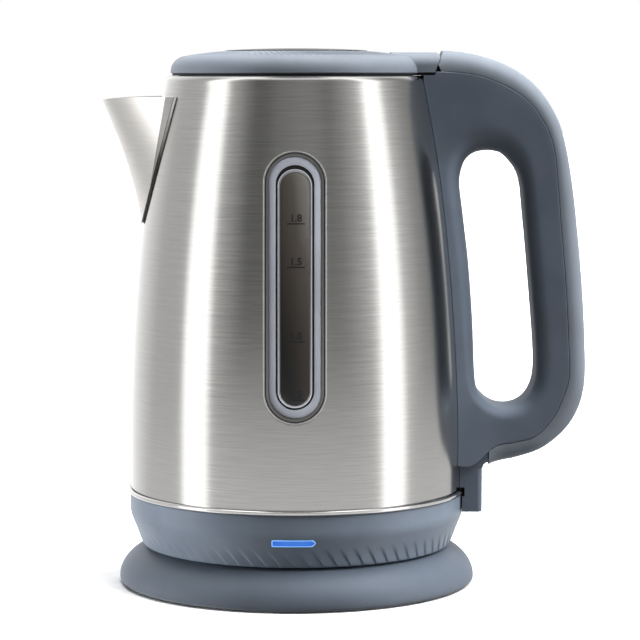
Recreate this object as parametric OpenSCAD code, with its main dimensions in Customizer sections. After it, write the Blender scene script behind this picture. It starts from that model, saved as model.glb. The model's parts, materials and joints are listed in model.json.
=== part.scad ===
// Cordless electric kettle on a power base.
// Brushed steel body with a spout, a gauge window, a moulded handle, a hinged lid and a
// plastic skirt that stands on a round base with a swivelling connector.
//
// Frame: millimetres, +Z up, origin on the table under the centre of the base.
// The handle points to +X, the spout to -X, and the gauge window faces -Y.

/* [Steel body] */
// Outer radius of the body at its lower edge
body_bottom_r = 74.8; // [70:0.2:78]
// Outer radius that the side would reach at the top edge
body_top_r = 58.0; // [55:0.2:61]
// Height of the steel body
body_h = 183.8; // [170:0.2:195]
// How late the side starts to lean in (2 is a plain arc)
body_curve = 2.3; // [1.8:0.1:2.8]
// Thickness of the sheet steel
body_wall = 0.8; // [0.6:0.1:1.2]
// Radius of the rolled shoulder under the lid
shoulder_r = 3.0; // [2:0.2:4]
// Radius of the mouth in the top flange
mouth_r = 52.5; // [50:0.5:53]

/* [Power base] */
// Outer radius of the base
base_r = 80; // [77:0.5:86]
// Height of the deck that the kettle stands on
deck_h = 17.3; // [15:0.1:20]
// Wall thickness of the base cover
base_wall = 2.2; // [1.6:0.1:2.6]
// Height of the widest line of the rim
rim_h = 2.7; // [2:0.1:4]
// Height of the rubber feet below the base
foot_h = 0.8; // [0.5:0.1:1.2]
// Radius of one rubber foot
foot_r = 6; // [4:0.5:8]
// Radius of the connector tower
tower_r = 15; // [13:0.5:16]
// Radius of the hole for the mains lead
lead_hole_r = 3.2; // [2.8:0.1:3.6]

/* [Skirt and trim ring] */
// Height of the plastic skirt
skirt_h = 23.4; // [20:0.2:28]
// Lean of the skirt's lower flank, in degrees
skirt_lean = 21.3; // [10:0.5:26]
// Wall thickness of the skirt
skirt_wall = 2.4; // [1.8:0.1:3]
// Height of the polished ring
ring_h = 1.9; // [1.5:0.1:3]
// How far the polished ring stands out from the steel
ring_proud = 1.5; // [0.8:0.1:2]
// Number of slanted flutes round the skirt
flute_count = 72; // [48:4:76]
// Depth of the flutes where they are deepest
flute_depth = 0.45; // [0.2:0.05:0.6]
// Length of the lit indicator
indicator_w = 19; // [12:0.5:24]
// Height of the lit indicator
indicator_h = 3; // [2:0.2:4]

/* [Gauge window] */
// Width of the window's outer lip
window_w = 27; // [24:0.5:30]
// Height of the window's outer lip
window_h = 119; // [100:1:126]
// Height of the window's centre above the lower edge of the steel
window_mid = 94.4; // [90:0.2:98]
// Width of the clear strip
sight_w = 13; // [11:0.5:15]

/* [Spout] */
// How far the pouring lip stands out from the body's lower edge
spout_out = 12.5; // [8:0.1:20]
// Drop of the spout's top edge below the body's top
spout_drop = 9.2; // [8:0.2:14]
// Height of the spout
spout_h = 53.4; // [45:0.2:60]
// Sheet thickness of the spout
spout_wall = 0.8; // [0.6:0.1:1.2]

/* [Lid] */
// Outer radius of the lid
lid_r = 56; // [54:0.2:58]
// Height of the lid's tail above the lid's lower edge
lid_h = 9.3; // [8.4:0.1:10.4]
// Wall thickness of the lid's mouldings
lid_wall = 2.0; // [1.6:0.1:2.4]
// Radius of the inner part that closes the mouth
plug_r = 48.7; // [46:0.1:48.8]
// Depth of the inner part below the lid's lower edge
plug_depth = 10.6; // [8:0.2:12]
// Radius of the glossy disc set in the lid
disc_r = 31.8; // [25:0.2:36]
// Number of fine pleats round the lid's dome
pleat_count = 96; // [60:4:96]

/* [Handle] */
// How far the grip stands out beyond the body's lower radius
handle_reach = 54.4; // [50:0.2:62]
// Half width of the handle at the top and of the lid's tail
arm_half_w = 17; // [15:0.5:19]
// Half width of the grip
grip_half_w = 15.5; // [13:0.5:17]
// Half width of the root against the steel
root_half_w = 21; // [18:0.5:24]
// Depth of the cover strip at the top of the handle
cover_depth = 9.8; // [8:0.2:12]
// Length of the lid button
button_l = 19; // [15:0.5:22]
// Width of the lid button
button_w = 18; // [12:0.5:20]
// Travel of the lid button
button_travel = 2.5; // [1.5:0.1:3]
// Height of the power switch
switch_h = 14; // [11:0.5:15]
// Width of the power switch
switch_w = 15; // [10:0.5:18]

/* [Clearances] */
// Gap between pieces that are seated on each other
seat = 0.3; // [0.2:0.05:0.4]
// Visible gap under the lid
lid_gap = 1.0; // [0.8:0.1:1.4]
// Radial running clearance on the hinge pins
run = 0.05; // [0.02:0.01:0.08]

/* [Hidden] */

$fn = 96;
eps = 0.01;
// Where cuts through the side start and end
near_r = body_top_r - 8;
far_r = body_bottom_r + 15;
slate = "#5f6874";
slate_dark = "#4c545f";
steel = "#b9b7b3";

// Levels, from the table upwards
skirt_z0 = deck_h + seat;
skirt_z1 = skirt_z0 + skirt_h;
ring_z0 = skirt_z1 + seat;
ring_z1 = ring_z0 + ring_h;
body_z0 = ring_z1 + 0.4;
body_z1 = body_z0 + body_h;
lid_z0 = body_z1 + lid_gap;
lid_z1 = lid_z0 + lid_h;
plate_z = body_z0 + 10.4;

// ---------------------------------------------------------------- shared helpers

function body_r(z) =
    body_bottom_r - (body_bottom_r - body_top_r) * pow(max(z - body_z0, 0) / body_h, body_curve);

// Radius of the skirt's outside at height z: upright, a bend, then a straight lean
bend_r = 12;
bend_z = skirt_z1 - 6.5;
skirt_top_r = body_bottom_r + 0.4;
function skirt_r(z) =
    let (drop = bend_z - z, bend_drop = bend_r * sin(skirt_lean))
    drop <= 0 ? skirt_top_r
    : drop < bend_drop ? skirt_top_r - bend_r + sqrt(bend_r * bend_r - drop * drop)
    : skirt_top_r - bend_r * (1 - cos(skirt_lean)) - (drop - bend_drop) * tan(skirt_lean);

function steps(z0, z1, count) = [for (i = [0 : count]) z0 + (z1 - z0) * i / count];
function arc(cx, cz, r, a0, a1, count) =
    [for (a = steps(a0, a1, count)) [cx + r * cos(a), cz + r * sin(a)]];
function reversed(list) = [for (i = [len(list) - 1 : -1 : 0]) list[i]];

// A band that follows the body's side, from offset d0 to d1 outwards
module body_band(z0, z1, d0, d1, count = 16) {
    rotate_extrude()
        polygon(concat([for (z = steps(z0, z1, count)) [body_r(z) + d1, z]],
                       [for (z = steps(z1, z0, count)) [body_r(z) + d0, z]]));
}

// A band that follows the skirt's side
module skirt_band(z0, z1, d0, d1, count = 10) {
    rotate_extrude()
        polygon(concat([for (z = steps(z0, z1, count)) [skirt_r(z) + d1, z]],
                       [for (z = steps(z1, z0, count)) [skirt_r(z) + d0, z]]));
}

// An upright oblong of width w and height h, pushed through the side at -Y
module oblong(w, h, z_mid, from = -90, to = -40) {
    translate([0, to, z_mid])
        rotate([90, 0, 0])
            linear_extrude(to - from) {
                square([w, h - w], center = true);
                for (side = [-1, 1])
                    translate([0, side * (h - w) / 2])
                        circle(d = w);
            }
}

// A flat oblong, lying along X
module oblong_x(w, h, z_mid, from = -far_r, to = -near_r) {
    translate([0, to, z_mid])
        rotate([90, 0, 0])
            linear_extrude(to - from) {
                square([w - h, h], center = true);
                for (side = [-1, 1])
                    translate([side * (w - h) / 2, 0])
                        circle(d = h, $fn = 32);
            }
}

// A tube between two heights
module pipe(r_out, r_in, z0, z1) {
    translate([0, 0, z0])
        difference() {
            cylinder(r = r_out, h = z1 - z0);
            translate([0, 0, -eps])
                cylinder(r = r_in, h = z1 - z0 + 2 * eps);
        }
}

// A plate with round corners, from z0 to z1
module round_plate(x0, x1, half_w, r, z0, z1) {
    translate([0, 0, z0])
        linear_extrude(z1 - z0) {
            translate([x0 + r, -half_w])
                square([x1 - x0 - 2 * r, 2 * half_w]);
            translate([x0, -half_w + r])
                square([x1 - x0, 2 * half_w - 2 * r]);
            for (x = [x0 + r, x1 - r], y = [r - half_w, half_w - r])
                translate([x, y])
                    circle(r = r, $fn = 32);
        }
}

// Copies round the axis
module around(count, first = 0) {
    for (i = [0 : count - 1])
        rotate([0, 0, first + 360 * i / count])
            children();
}

// A pan-head screw along +Z with the underside of its head at z = 0
module screw(r, length, head_r, head_h) {
    translate([0, 0, -head_h])
        difference() {
            cylinder(r = head_r, h = head_h, $fn = 32);
            for (turn = [0, 90])
                rotate([0, 0, turn])
                    translate([-head_r * 0.6, -head_r * 0.13, -eps])
                        cube([head_r * 1.2, head_r * 0.26, head_h * 0.5]);
        }
    translate([0, 0, -eps])
        cylinder(r = r, h = length, $fn = 32);
}

// Faces of a skin over rings of points; a closed skin joins the last ring to the first
function skin_faces(rings, points, closed) = concat(
    [for (i = [0 : rings - (closed ? 1 : 2)], j = [0 : points - 1])
        let (a = i * points + j, b = i * points + (j + 1) % points,
             c = ((i + 1) % rings) * points + (j + 1) % points, d = ((i + 1) % rings) * points + j)
        each [[a, b, c], [a, c, d]]],
    closed ? [] : [reversed([for (j = [0 : points - 1]) j]),
                   [for (j = [0 : points - 1]) (rings - 1) * points + j]]);

// The same for a thin sheet whose ends aren't flat: they are closed in strips
function sheet_faces(rings, points) =
    let (side = skin_faces(rings, points, false), last = (rings - 1) * points)
    concat([for (k = [0 : 2 * rings * points - 2 * points - 1]) side[k]],
           [for (j = [0 : points / 2 - 2])
               let (a = j, b = j + 1, c = points - 2 - j, d = points - 1 - j)
               each [[d, c, b], [d, b, a],
                     [last + a, last + b, last + c], [last + a, last + c, last + d]]]);

// A coil spring about +Z from its foot at z = 0
module coil(r, wire_r, height, turns, per_turn = 12) {
    count = turns * per_turn;
    rings = [for (i = [0 : count])
        let (a = 360 * i / per_turn, z = wire_r + (height - 2 * wire_r) * i / count)
        [for (k = [0 : 5])
            [(r + wire_r * cos(60 * k)) * cos(a), (r + wire_r * cos(60 * k)) * sin(a),
             z + wire_r * sin(60 * k)]]];
    polyhedron([for (ring = rings) each ring], skin_faces(count + 1, 6, false));
}

// Catmull-Rom value at t between b and c
function blend(a, b, c, d, t) =
    0.5 * (2 * b + (c - a) * t + (2 * a - 5 * b + 4 * c - d) * t * t
           + (3 * b - a - 3 * c + d) * t * t * t);

// ---------------------------------------------------------------- power base

// The cover's dome is a quarter ellipse that the deck cuts off
dome_run = base_r - 56.8;
dome_rise = deck_h - rim_h + 1.3;
deck_r = base_r - dome_run * (1 - sqrt(1 - pow((deck_h - rim_h) / dome_rise, 2)));
function dome(inset, a) =
    [base_r - dome_run + (dome_run - inset) * cos(a), rim_h + (dome_rise - inset) * sin(a)];
deck_angle = asin((deck_h - rim_h) / dome_rise);
deck_under_angle = asin((deck_h - base_wall - rim_h) / (dome_rise - base_wall));

hub_r = 29;
hub_h = 2.2;
hub_z = deck_h + hub_h;
tower_flange_r = hub_r - 3;
tower_z1 = deck_h + 18.7;
plate_top = foot_h + 2.4;
lead_bush_r = lead_hole_r + 1.2;
lead_z = plate_top + seat + lead_bush_r + 0.8;
post_r = 3.4;
post_ring = 56;

module base_section() {
    polygon(concat(
        [[base_r - base_wall, foot_h], [base_r - 1.1, foot_h], [base_r - 0.3, foot_h + 0.8]],
        [for (a = steps(0, deck_angle, 14)) dome(0, a)],
        [[hub_r + 2.5, deck_h], [hub_r, hub_z], [hub_r - 7 + seat, hub_z],
         [hub_r - 7 + seat, hub_z - base_wall], [hub_r - 1.4, hub_z - base_wall],
         [hub_r + 1.1, deck_h - base_wall]],
        [for (a = steps(deck_under_angle, 0, 12)) dome(base_wall, a)]));
}

module base_cover() color(slate) difference() {
    union() {
        rotate_extrude() base_section();
        around(4, 45)
            translate([post_ring, 0, plate_top + seat])
                cylinder(r = post_r, h = deck_h - base_wall - plate_top, $fn = 40);
    }
    // Hole for the lead's bush in the rear of the rim
    translate([0, base_r - 20, lead_z])
        rotate([-90, 0, 0])
            cylinder(r = lead_bush_r + seat / 2, h = 40);
    around(4, 45)
        translate([post_ring, 0, 0])
            cylinder(r = 1.3, h = deck_h - base_wall, $fn = 32);
}

// Four feet near the rim and one under the connector
module at_feet() {
    children();
    around(4)
        translate([base_r - 14, 0, 0])
            children();
}

module base_plate() color("#3b4047") difference() {
    translate([0, 0, foot_h + 0.4])
        cylinder(r = base_r - base_wall - seat, h = plate_top - foot_h - 0.4);
    at_feet()
        translate([0, 0, -eps])
            cylinder(r = foot_r + seat / 2, h = foot_h + 1.2 + eps, $fn = 48);
    around(4, 45)
        translate([post_ring, 0, -eps]) {
            cylinder(r = 1.8, h = 20, $fn = 32);
            cylinder(r = 3.2, h = foot_h + 1.7, $fn = 32);
        }
    // Vent slots
    around(12)
        translate([24, -1, -eps])
            cube([12, 2, 20]);
}

module base_feet() color("#2c2f33") at_feet()
    cylinder(r = foot_r, h = foot_h + 1.2, $fn = 48);

module base_screws() color("#8f9296") around(4, 45)
    translate([post_ring, 0, foot_h + 1.6])
        screw(1.25, 10, 2.8, 1.1);

contact_r = 8.5;
module base_connector() color("#26282b") difference() {
    rotate_extrude()
        polygon([[0, hub_z - base_wall - seat - 2], [tower_flange_r, hub_z - base_wall - seat - 2],
                 [tower_flange_r, hub_z - base_wall - seat], [hub_r - 7 - seat, hub_z - base_wall - seat],
                 [hub_r - 7 - seat, hub_z], [tower_r + 1.5, hub_z], [tower_r, hub_z + 1.5],
                 [tower_r, tower_z1 - 1], [tower_r - 1, tower_z1], [0, tower_z1]]);
    // Centre hole and ring slot that take the kettle's pin and ring
    translate([0, 0, deck_h + 2])
        cylinder(r = 3.2, h = 40);
    pipe(contact_r + 1.3, contact_r - 1.3, deck_h + 4, tower_z1 + 1);
}

// Sprung blades at the bottom of the hole and of the slot
module base_contacts() color("#c9a24b") {
    translate([-2.4, -0.4, deck_h + 2])
        cube([1.0, 0.8, 3.4]);
    for (side = [-1, 1])
        translate([side * contact_r - 0.5, -2, deck_h + 4])
            cube([1, 4, 2.2]);
}

module lead_bush() color("#26282b") difference() {
    translate([0, base_r - 18, lead_z])
        rotate([-90, 0, 0]) {
            cylinder(r = lead_bush_r, h = 17);
            cylinder(r = lead_bush_r + 0.8, h = 3);
        }
    translate([0, base_r - 20, lead_z])
        rotate([-90, 0, 0])
            cylinder(r = lead_hole_r, h = 40);
}

// ---------------------------------------------------------------- connector in the kettle

flange_h = 2.2;
floor_z0 = skirt_z0 + flange_h + seat;
floor_z1 = floor_z0 + 2;
socket_z0 = floor_z1 + seat;
socket_r = tower_r + 8;
socket_in_r = tower_r + 2.4;
socket_top = tower_z1 + 4.7;

module connector_socket() color("#26282b") difference() {
    union() {
        translate([0, 0, socket_z0])
            cylinder(r = socket_r + 4, h = 2);
        translate([0, 0, floor_z0])
            cylinder(r = socket_r, h = socket_top - floor_z0);
    }
    translate([0, 0, floor_z0 - 2])
        cylinder(r = socket_in_r, h = tower_z1 + 2.4 - floor_z0 + 2);
    translate([0, 0, floor_z0 - eps])
        cylinder(r1 = socket_in_r + 2.5, r2 = socket_in_r, h = 3);
}

module socket_contacts() color("#c9a24b") {
    pin_top = tower_z1 + 2.4;
    translate([0, 0, deck_h + 7])
        cylinder(r = 2.3, h = pin_top - deck_h - 7, $fn = 40);
    pipe(contact_r + 0.5, contact_r - 0.5, deck_h + 8, pin_top);
}

// ---------------------------------------------------------------- skirt, ring and floor

module skirt_section() {
    polygon(concat(
        [[skirt_r(skirt_z0) - 9, skirt_z0], [skirt_r(skirt_z0) - 1.6, skirt_z0],
         [skirt_r(skirt_z0) - 0.3, skirt_z0 + 0.7]],
        [for (z = steps(skirt_z0 + 1.8, skirt_z1 - 0.4, 18)) [skirt_r(z), z]],
        [[skirt_top_r - 0.4, skirt_z1], [skirt_top_r - skirt_wall, skirt_z1]],
        [for (z = steps(skirt_z1 - 0.5, skirt_z0 + flange_h, 10)) [skirt_r(z) - skirt_wall, z]],
        [[skirt_r(skirt_z0) - 9, skirt_z0 + flange_h]]));
}

// Saw-tooth groove along +Z: its apex on the axis, a long slope towards -Y, a steep return.
// Its width is a share of the pitch, so neighbours never meet.
groove_share = 0.72;
module groove(depth, width, length) {
    linear_extrude(length)
        polygon([[0, 0], [depth * 0.85, -width], [depth + 0.5, -width], [depth + 0.5, width * 0.09]]);
}

// Slanted flutes that deepen towards the skirt's lower edge
flute_rise = 9.9;
flute_slant = 37;
module flutes() {
    z = skirt_z0 + flute_rise / 2;
    tilt = atan((tan(skirt_lean) + flute_depth / flute_rise) * cos(flute_slant));
    around(flute_count)
        translate([skirt_r(z) - flute_depth / 2, 0, z])
            rotate([flute_slant, 0, 0])
                rotate([0, tilt, 0])
                    translate([0, 0, -flute_rise])
                        groove(flute_depth, groove_share * 2 * PI * skirt_r(skirt_z0) / flute_count,
                               2 * flute_rise);
}

bottom_screw_ring = skirt_r(skirt_z0) - 5.5;
indicator_z = skirt_z0 + 11.5;
switch_z = ring_z0 + 1.2;
module skirt() color(slate) difference() {
    rotate_extrude() skirt_section();
    flutes();
    oblong_x(indicator_w, indicator_h, indicator_z);
    around(3, -30)
        translate([bottom_screw_ring, 0, skirt_z0 - eps]) {
            cylinder(r = 1.8, h = 10, $fn = 32);
            cylinder(r = 3.2, h = 1.4 + eps, $fn = 32);
        }
    // Slot for the switch's arm, behind the handle's leg
    translate([skirt_top_r - 15, -arm_slot_w / 2, arm_z - arm_slot_h / 2])
        cube([30, arm_slot_w, arm_slot_h]);
}

module bottom_cover() color("#3b4047") difference() {
    union() {
        pipe(skirt_r(skirt_z0) - 3.5, socket_r + seat, floor_z0, floor_z1);
        around(3, -30)
            translate([bottom_screw_ring, 0, floor_z0])
                cylinder(r = 2.9, h = 9, $fn = 40);
        // Collar that centres the socket's flange
        pipe(socket_r + 6.3, socket_r + 4 + seat, floor_z0, floor_z1 + 3);
        // Cradle for the indicator's board
        translate([-12, -board_y - 3.4, floor_z0])
            cube([24, 1.5, 5]);
    }
    around(3, -30)
        translate([bottom_screw_ring, 0, floor_z0 - eps])
            cylinder(r = 1.3, h = 8, $fn = 32);
    around(10, 18)
        translate([socket_r + 10, -1.2, floor_z0 - eps])
            cube([16, 2.4, 4]);
}

module bottom_screws() color("#8f9296") around(3, -30)
    translate([bottom_screw_ring, 0, skirt_z0 + 1.4])
        screw(1.25, 8.4, 2.8, 1.1);

ring_r = body_bottom_r + ring_proud;
spigot_r = body_bottom_r - body_wall - seat;
module trim_ring() color("#d9d9d8") difference() {
    rotate_extrude()
        polygon([[spigot_r - 2, ring_z0], [ring_r - 0.4, ring_z0], [ring_r, ring_z0 + 0.5],
                 [ring_r, ring_z1 - 0.6], [ring_r - 0.6, ring_z1], [spigot_r, ring_z1],
                 [spigot_r, ring_z1 + 4.4], [spigot_r - 2, ring_z1 + 4.4]]);
    for (y = [-1, 1])
        translate([spigot_r - 10, y * low_screw_y, low_screw_z])
            rotate([0, 90, 0])
                cylinder(r = 1.8, h = 30, $fn = 32);
}

module indicator_lens() color("#2f6bff") intersection() {
    oblong_x(indicator_w - 0.2, indicator_h - 0.2, indicator_z);
    skirt_band(indicator_z - 4, indicator_z + 4, -skirt_wall - 0.6, 0.15);
}

board_y = skirt_r(indicator_z - 4) - skirt_wall - 8;
module indicator_board() color("#2f7a3f") {
    translate([-12, -board_y - 1.6, floor_z1 + seat])
        cube([24, 1.6, 11]);
    for (x = [-6, 0, 6])
        translate([x, -board_y - 1.6, indicator_z - 0.6])
            rotate([90, 0, 0])
                cylinder(r = 1.4, h = 4.5, $fn = 24);
}

// ---------------------------------------------------------------- steel body and spout

shoulder_z = body_z1 - shoulder_r;
module shell_section() {
    r = body_r(shoulder_z);
    outer = concat([for (z = steps(body_z0, shoulder_z, 24)) [body_r(z), z]],
                   arc(r - shoulder_r, shoulder_z, shoulder_r, 15, 90, 5));
    inner = concat([[mouth_r, body_z1], [mouth_r, body_z1 - body_wall]],
                   arc(r - shoulder_r, shoulder_z, shoulder_r - body_wall, 90, 15, 5),
                   [for (z = steps(shoulder_z, body_z0, 24)) [body_r(z) - body_wall, z]]);
    polygon(concat(outer, inner));
}

// The seam where the spout meets the body lies in one slanted plane
spout_z1 = body_z1 - spout_drop;
spout_z0 = spout_z1 - spout_h;
seam_top_x = 7 - body_r(spout_z1);
seam_low_x = -(body_r(spout_z0) + 0.2);
function seam_x(z) = seam_low_x + (seam_top_x - seam_low_x) * (z - spout_z0) / spout_h;
function seam_y(z, clear = 0.9) = sqrt(max(pow(body_r(z) + clear, 2) - pow(seam_x(z), 2), 0.5));
spout_reach = body_bottom_r + spout_out;
function nose_x(z) =
    let (foot = seam_low_x - 0.7)
    foot - (spout_reach + foot) * pow(max(z - spout_z0, 0) / spout_h, 1.33);

// The lip dips towards the tip
function lip_z(t) = spout_z1 - 2.0 * pow(1 - abs(t), 2);
function spout_point(s, t, inset) =
    let (z = spout_z0 + 1 + (lip_z(t) - spout_z0 - 1) * s,
         nose = nose_x(z) + inset * 1.1,
         side = seam_y(z) - inset)
    [nose + (seam_x(z) - nose) * pow(abs(t), 1.8), side * t, z];

module spout() color(steel) {
    across = [for (i = [0 : 28]) let (u = (i - 14) / 14) u * (1.25 - 0.25 * u * u)];
    rings = [for (s = steps(0, 1, 12))
        concat([for (t = across) spout_point(s, t, 0)],
               [for (t = reversed(across)) spout_point(s, t, spout_wall)])];
    polyhedron([for (ring = rings) each ring], sheet_faces(len(rings), 2 * len(across)));
}

// The V-shaped opening behind the spout, inset from its seam
module pour_opening(inset, from = -far_r) {
    zs = steps(spout_z0 + 9 + inset, spout_z1 - 5 - inset, 8);
    rotate([90, 0, -90])
        translate([0, 0, 20])
            linear_extrude(-from - 20)
                polygon(concat([for (z = zs) [seam_y(z) - 4 - inset, z]],
                               [for (z = reversed(zs)) [4 + inset - seam_y(z), z]]));
}

lip_proud = 0.5;
vent_z = body_z1 - 22;
latch_z = body_z1 - 6.2;
module body_shell() color(steel) difference() {
    union() {
        rotate_extrude() shell_section();
        // Raised lip pressed round the window
        difference() {
            intersection() {
                oblong(window_w, window_h, body_z0 + window_mid);
                body_band(body_z0 + window_mid - window_h / 2 - 2,
                          body_z0 + window_mid + window_h / 2 + 2, -body_wall / 2, lip_proud, 12);
            }
            oblong(window_w - 2.2, window_h - 2.2, body_z0 + window_mid);
        }
    }
    oblong(window_w - 5.6, window_h - 5.6, body_z0 + window_mid);
    pour_opening(0);
    // Latch slot and the holes for the handle's screws
    translate([45, -latch_w / 2 - 1, latch_z - latch_h / 2 - 1])
        cube([20, latch_w + 2, latch_h + 2]);
    for (y = [-1, 1])
        translate([collar_r - 10, y * top_screw_y, top_screw_z])
            rotate([0, 90, 0])
                cylinder(r = 1.8, h = 30, $fn = 32);
    for (y = [-1, 1])
        translate([spigot_r - 10, y * low_screw_y, low_screw_z])
            rotate([0, 90, 0])
                cylinder(r = 1.8, h = 30, $fn = 32);
}

module spout_filter() color("#9a9c9d") {
    filter_out = -body_wall - seat;
    difference() {
        intersection() {
            pour_opening(-2.5);
            body_band(spout_z0 + 4, spout_z1, filter_out - 1.6, filter_out, 8);
        }
        pour_opening(1.5);
    }
    // Mesh: a thin sheet cut into upright and level wires
    intersection() {
        difference() {
            body_band(spout_z0 + 9, spout_z1 - 4, filter_out - 1.2, filter_out - 0.8, 8);
            for (i = [-7 : 6], k = [0 : 8])
                translate([-far_r, 3 * i + 0.45, spout_z0 + 11 + 4 * k])
                    cube([60, 2.1, 3.1]);
        }
        pour_opening(0.6);
    }
}

collar_r = mouth_r - 2;
collar_h = 15;
collar_z0 = body_z1 - collar_h;
collar_z1 = body_z1 - body_wall - seat;
collar_out = body_r(shoulder_z) - body_wall - 1.1;
module top_collar() color(slate_dark) difference() {
    rotate_extrude()
        polygon([[collar_r, collar_z0], [collar_out, collar_z0], [collar_out, shoulder_z - 1],
                 [collar_out - shoulder_r * 0.8, collar_z1], [mouth_r - seat, collar_z1],
                 [mouth_r - seat, body_z1 + 0.4], [collar_r, body_z1 + 0.4]]);
    translate([collar_r - 10, -latch_w / 2 - seat, latch_z - latch_h / 2 - seat])
        cube([30, latch_w + 2 * seat, latch_h + 2 * seat]);
    for (y = [-1, 1])
        translate([45, y * top_screw_y, top_screw_z])
            rotate([0, 90, 0]) {
                cylinder(r = 1.8, h = 30, $fn = 32);
                cylinder(r = 3.3, h = 6.6, $fn = 32);
            }
}

// ---------------------------------------------------------------- gauge window

window_z = body_z0 + window_mid;
band_w = window_w - 6.4;
band_h = window_h - 6.4;
module window_lens() color("#c8d4dc", 0.5) {
    intersection() {
        oblong(band_w, band_h, window_z);
        body_band(window_z - band_h / 2 - 1, window_z + band_h / 2 + 1, -2.0, -0.45, 12);
    }
    intersection() {
        oblong(sight_w, band_h - band_w + sight_w, window_z);
        body_band(window_z - band_h / 2 - 1, window_z + band_h / 2 + 1, -2.0, 0.3, 12);
    }
}

module window_seal() color("#8d97a3") difference() {
    intersection() {
        oblong(band_w + 2.6, band_h + 2.6, window_z);
        body_band(window_z - band_h / 2 - 4, window_z + band_h / 2 + 4, -3.6, -2.3, 12);
    }
    oblong(sight_w - 1.2, band_h - band_w + sight_w - 1.2, window_z);
}

module window_clamp() color(slate_dark) difference() {
    intersection() {
        oblong(band_w + 6, band_h + 6, window_z);
        body_band(window_z - band_h / 2 - 5, window_z + band_h / 2 + 5, -6.2, -3.9, 12);
    }
    oblong(sight_w - 0.6, band_h - band_w + sight_w - 0.6, window_z);
}

// ---------------------------------------------------------------- heater and control

plate_t = 1.2;
plate_r = body_r(plate_z) - body_wall - seat;
spreader_z1 = plate_z - plate_t - seat;
spreader_z0 = spreader_z1 - 3;
element_r = 46;
element_tube_r = 4;
element_z = spreader_z0 - seat - element_tube_r;
control_z0 = socket_top + seat;
control_z1 = spreader_z0 - 1.1;
stud_ring = 31;

module heating_plate() color("#c4c6c8") {
    pipe(plate_r, plate_r - 1, plate_z - 5, plate_z);
    translate([0, 0, plate_z - plate_t])
        cylinder(r = plate_r - 0.5, h = plate_t);
}

module heat_spreader() color("#a9abad") difference() {
    translate([0, 0, spreader_z0])
        cylinder(r = element_r + 10, h = spreader_z1 - spreader_z0);
    around(3, 60)
        translate([stud_ring, 0, spreader_z0 - eps])
            cylinder(r = 2.0, h = 2.2, $fn = 32);
}

module heater_element() color("#7d7f82") {
    rotate([0, 0, 205])
        rotate_extrude(angle = 310)
            translate([element_r, element_z])
                circle(r = element_tube_r, $fn = 32);
    for (a = [205, 205 + 310])
        rotate([0, 0, a])
            translate([element_r, 0, element_z - 9])
                cylinder(r = 1.2, h = 6, $fn = 24);
}

module control_unit() color("#303338") difference() {
    union() {
        translate([0, 0, control_z0])
            cylinder(r = socket_r + 1, h = control_z1 - control_z0);
        translate([0, 0, control_z1 - 2.6])
            cylinder(r = stud_ring + 4, h = 2.6);
    }
    around(3, 60)
        translate([stud_ring, 0, control_z0])
            cylinder(r = 2.2, h = 20, $fn = 32);
}

module bimetal_discs() color("#b58a4a") for (side = [-1, 1])
    translate([side * 12, 0, control_z1 + seat])
        cylinder(r = 8, h = 0.5, $fn = 40);

module control_studs() color("#8f9296") around(3, 60)
    translate([stud_ring, 0, 0]) {
        translate([0, 0, control_z1 - 2.9 - 2.4])
            cylinder(r = 3.4, h = 2.4, $fn = 6);
        translate([0, 0, control_z1 - 6.5])
            cylinder(r = 1.9, h = spreader_z0 + 2 - control_z1 + 6.5, $fn = 32);
    }

// Blades that carry the mains from the control to the element's cold ends
module terminal_tabs() color("#c9a24b") for (a = [205, 205 + 310])
    rotate([0, 0, a])
        difference() {
            translate([socket_r + 1 + seat, -3, element_z - element_tube_r - seat - 0.8])
                cube([element_r - socket_r + 2, 6, 0.8]);
            translate([element_r, 0, control_z0 - 4])
                cylinder(r = 1.2 + run, h = 20, $fn = 24);
        }

steam_x = body_r(vent_z) - body_wall - seat - 4.6;
module steam_tube() color("#d8d8d4") difference() {
    translate([steam_x, 0, plate_z + seat])
        cylinder(r = 4.2, h = vent_z + 3 - plate_z, $fn = 40);
    translate([steam_x, 0, plate_z])
        cylinder(r = 3.2, h = 400, $fn = 40);
    translate([steam_x, 0, vent_z + 5])
        rotate([0, -30, 0])
            translate([-20, -20, -1])
                cube([40, 40, 40]);
}

// ---------------------------------------------------------------- handle

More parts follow.
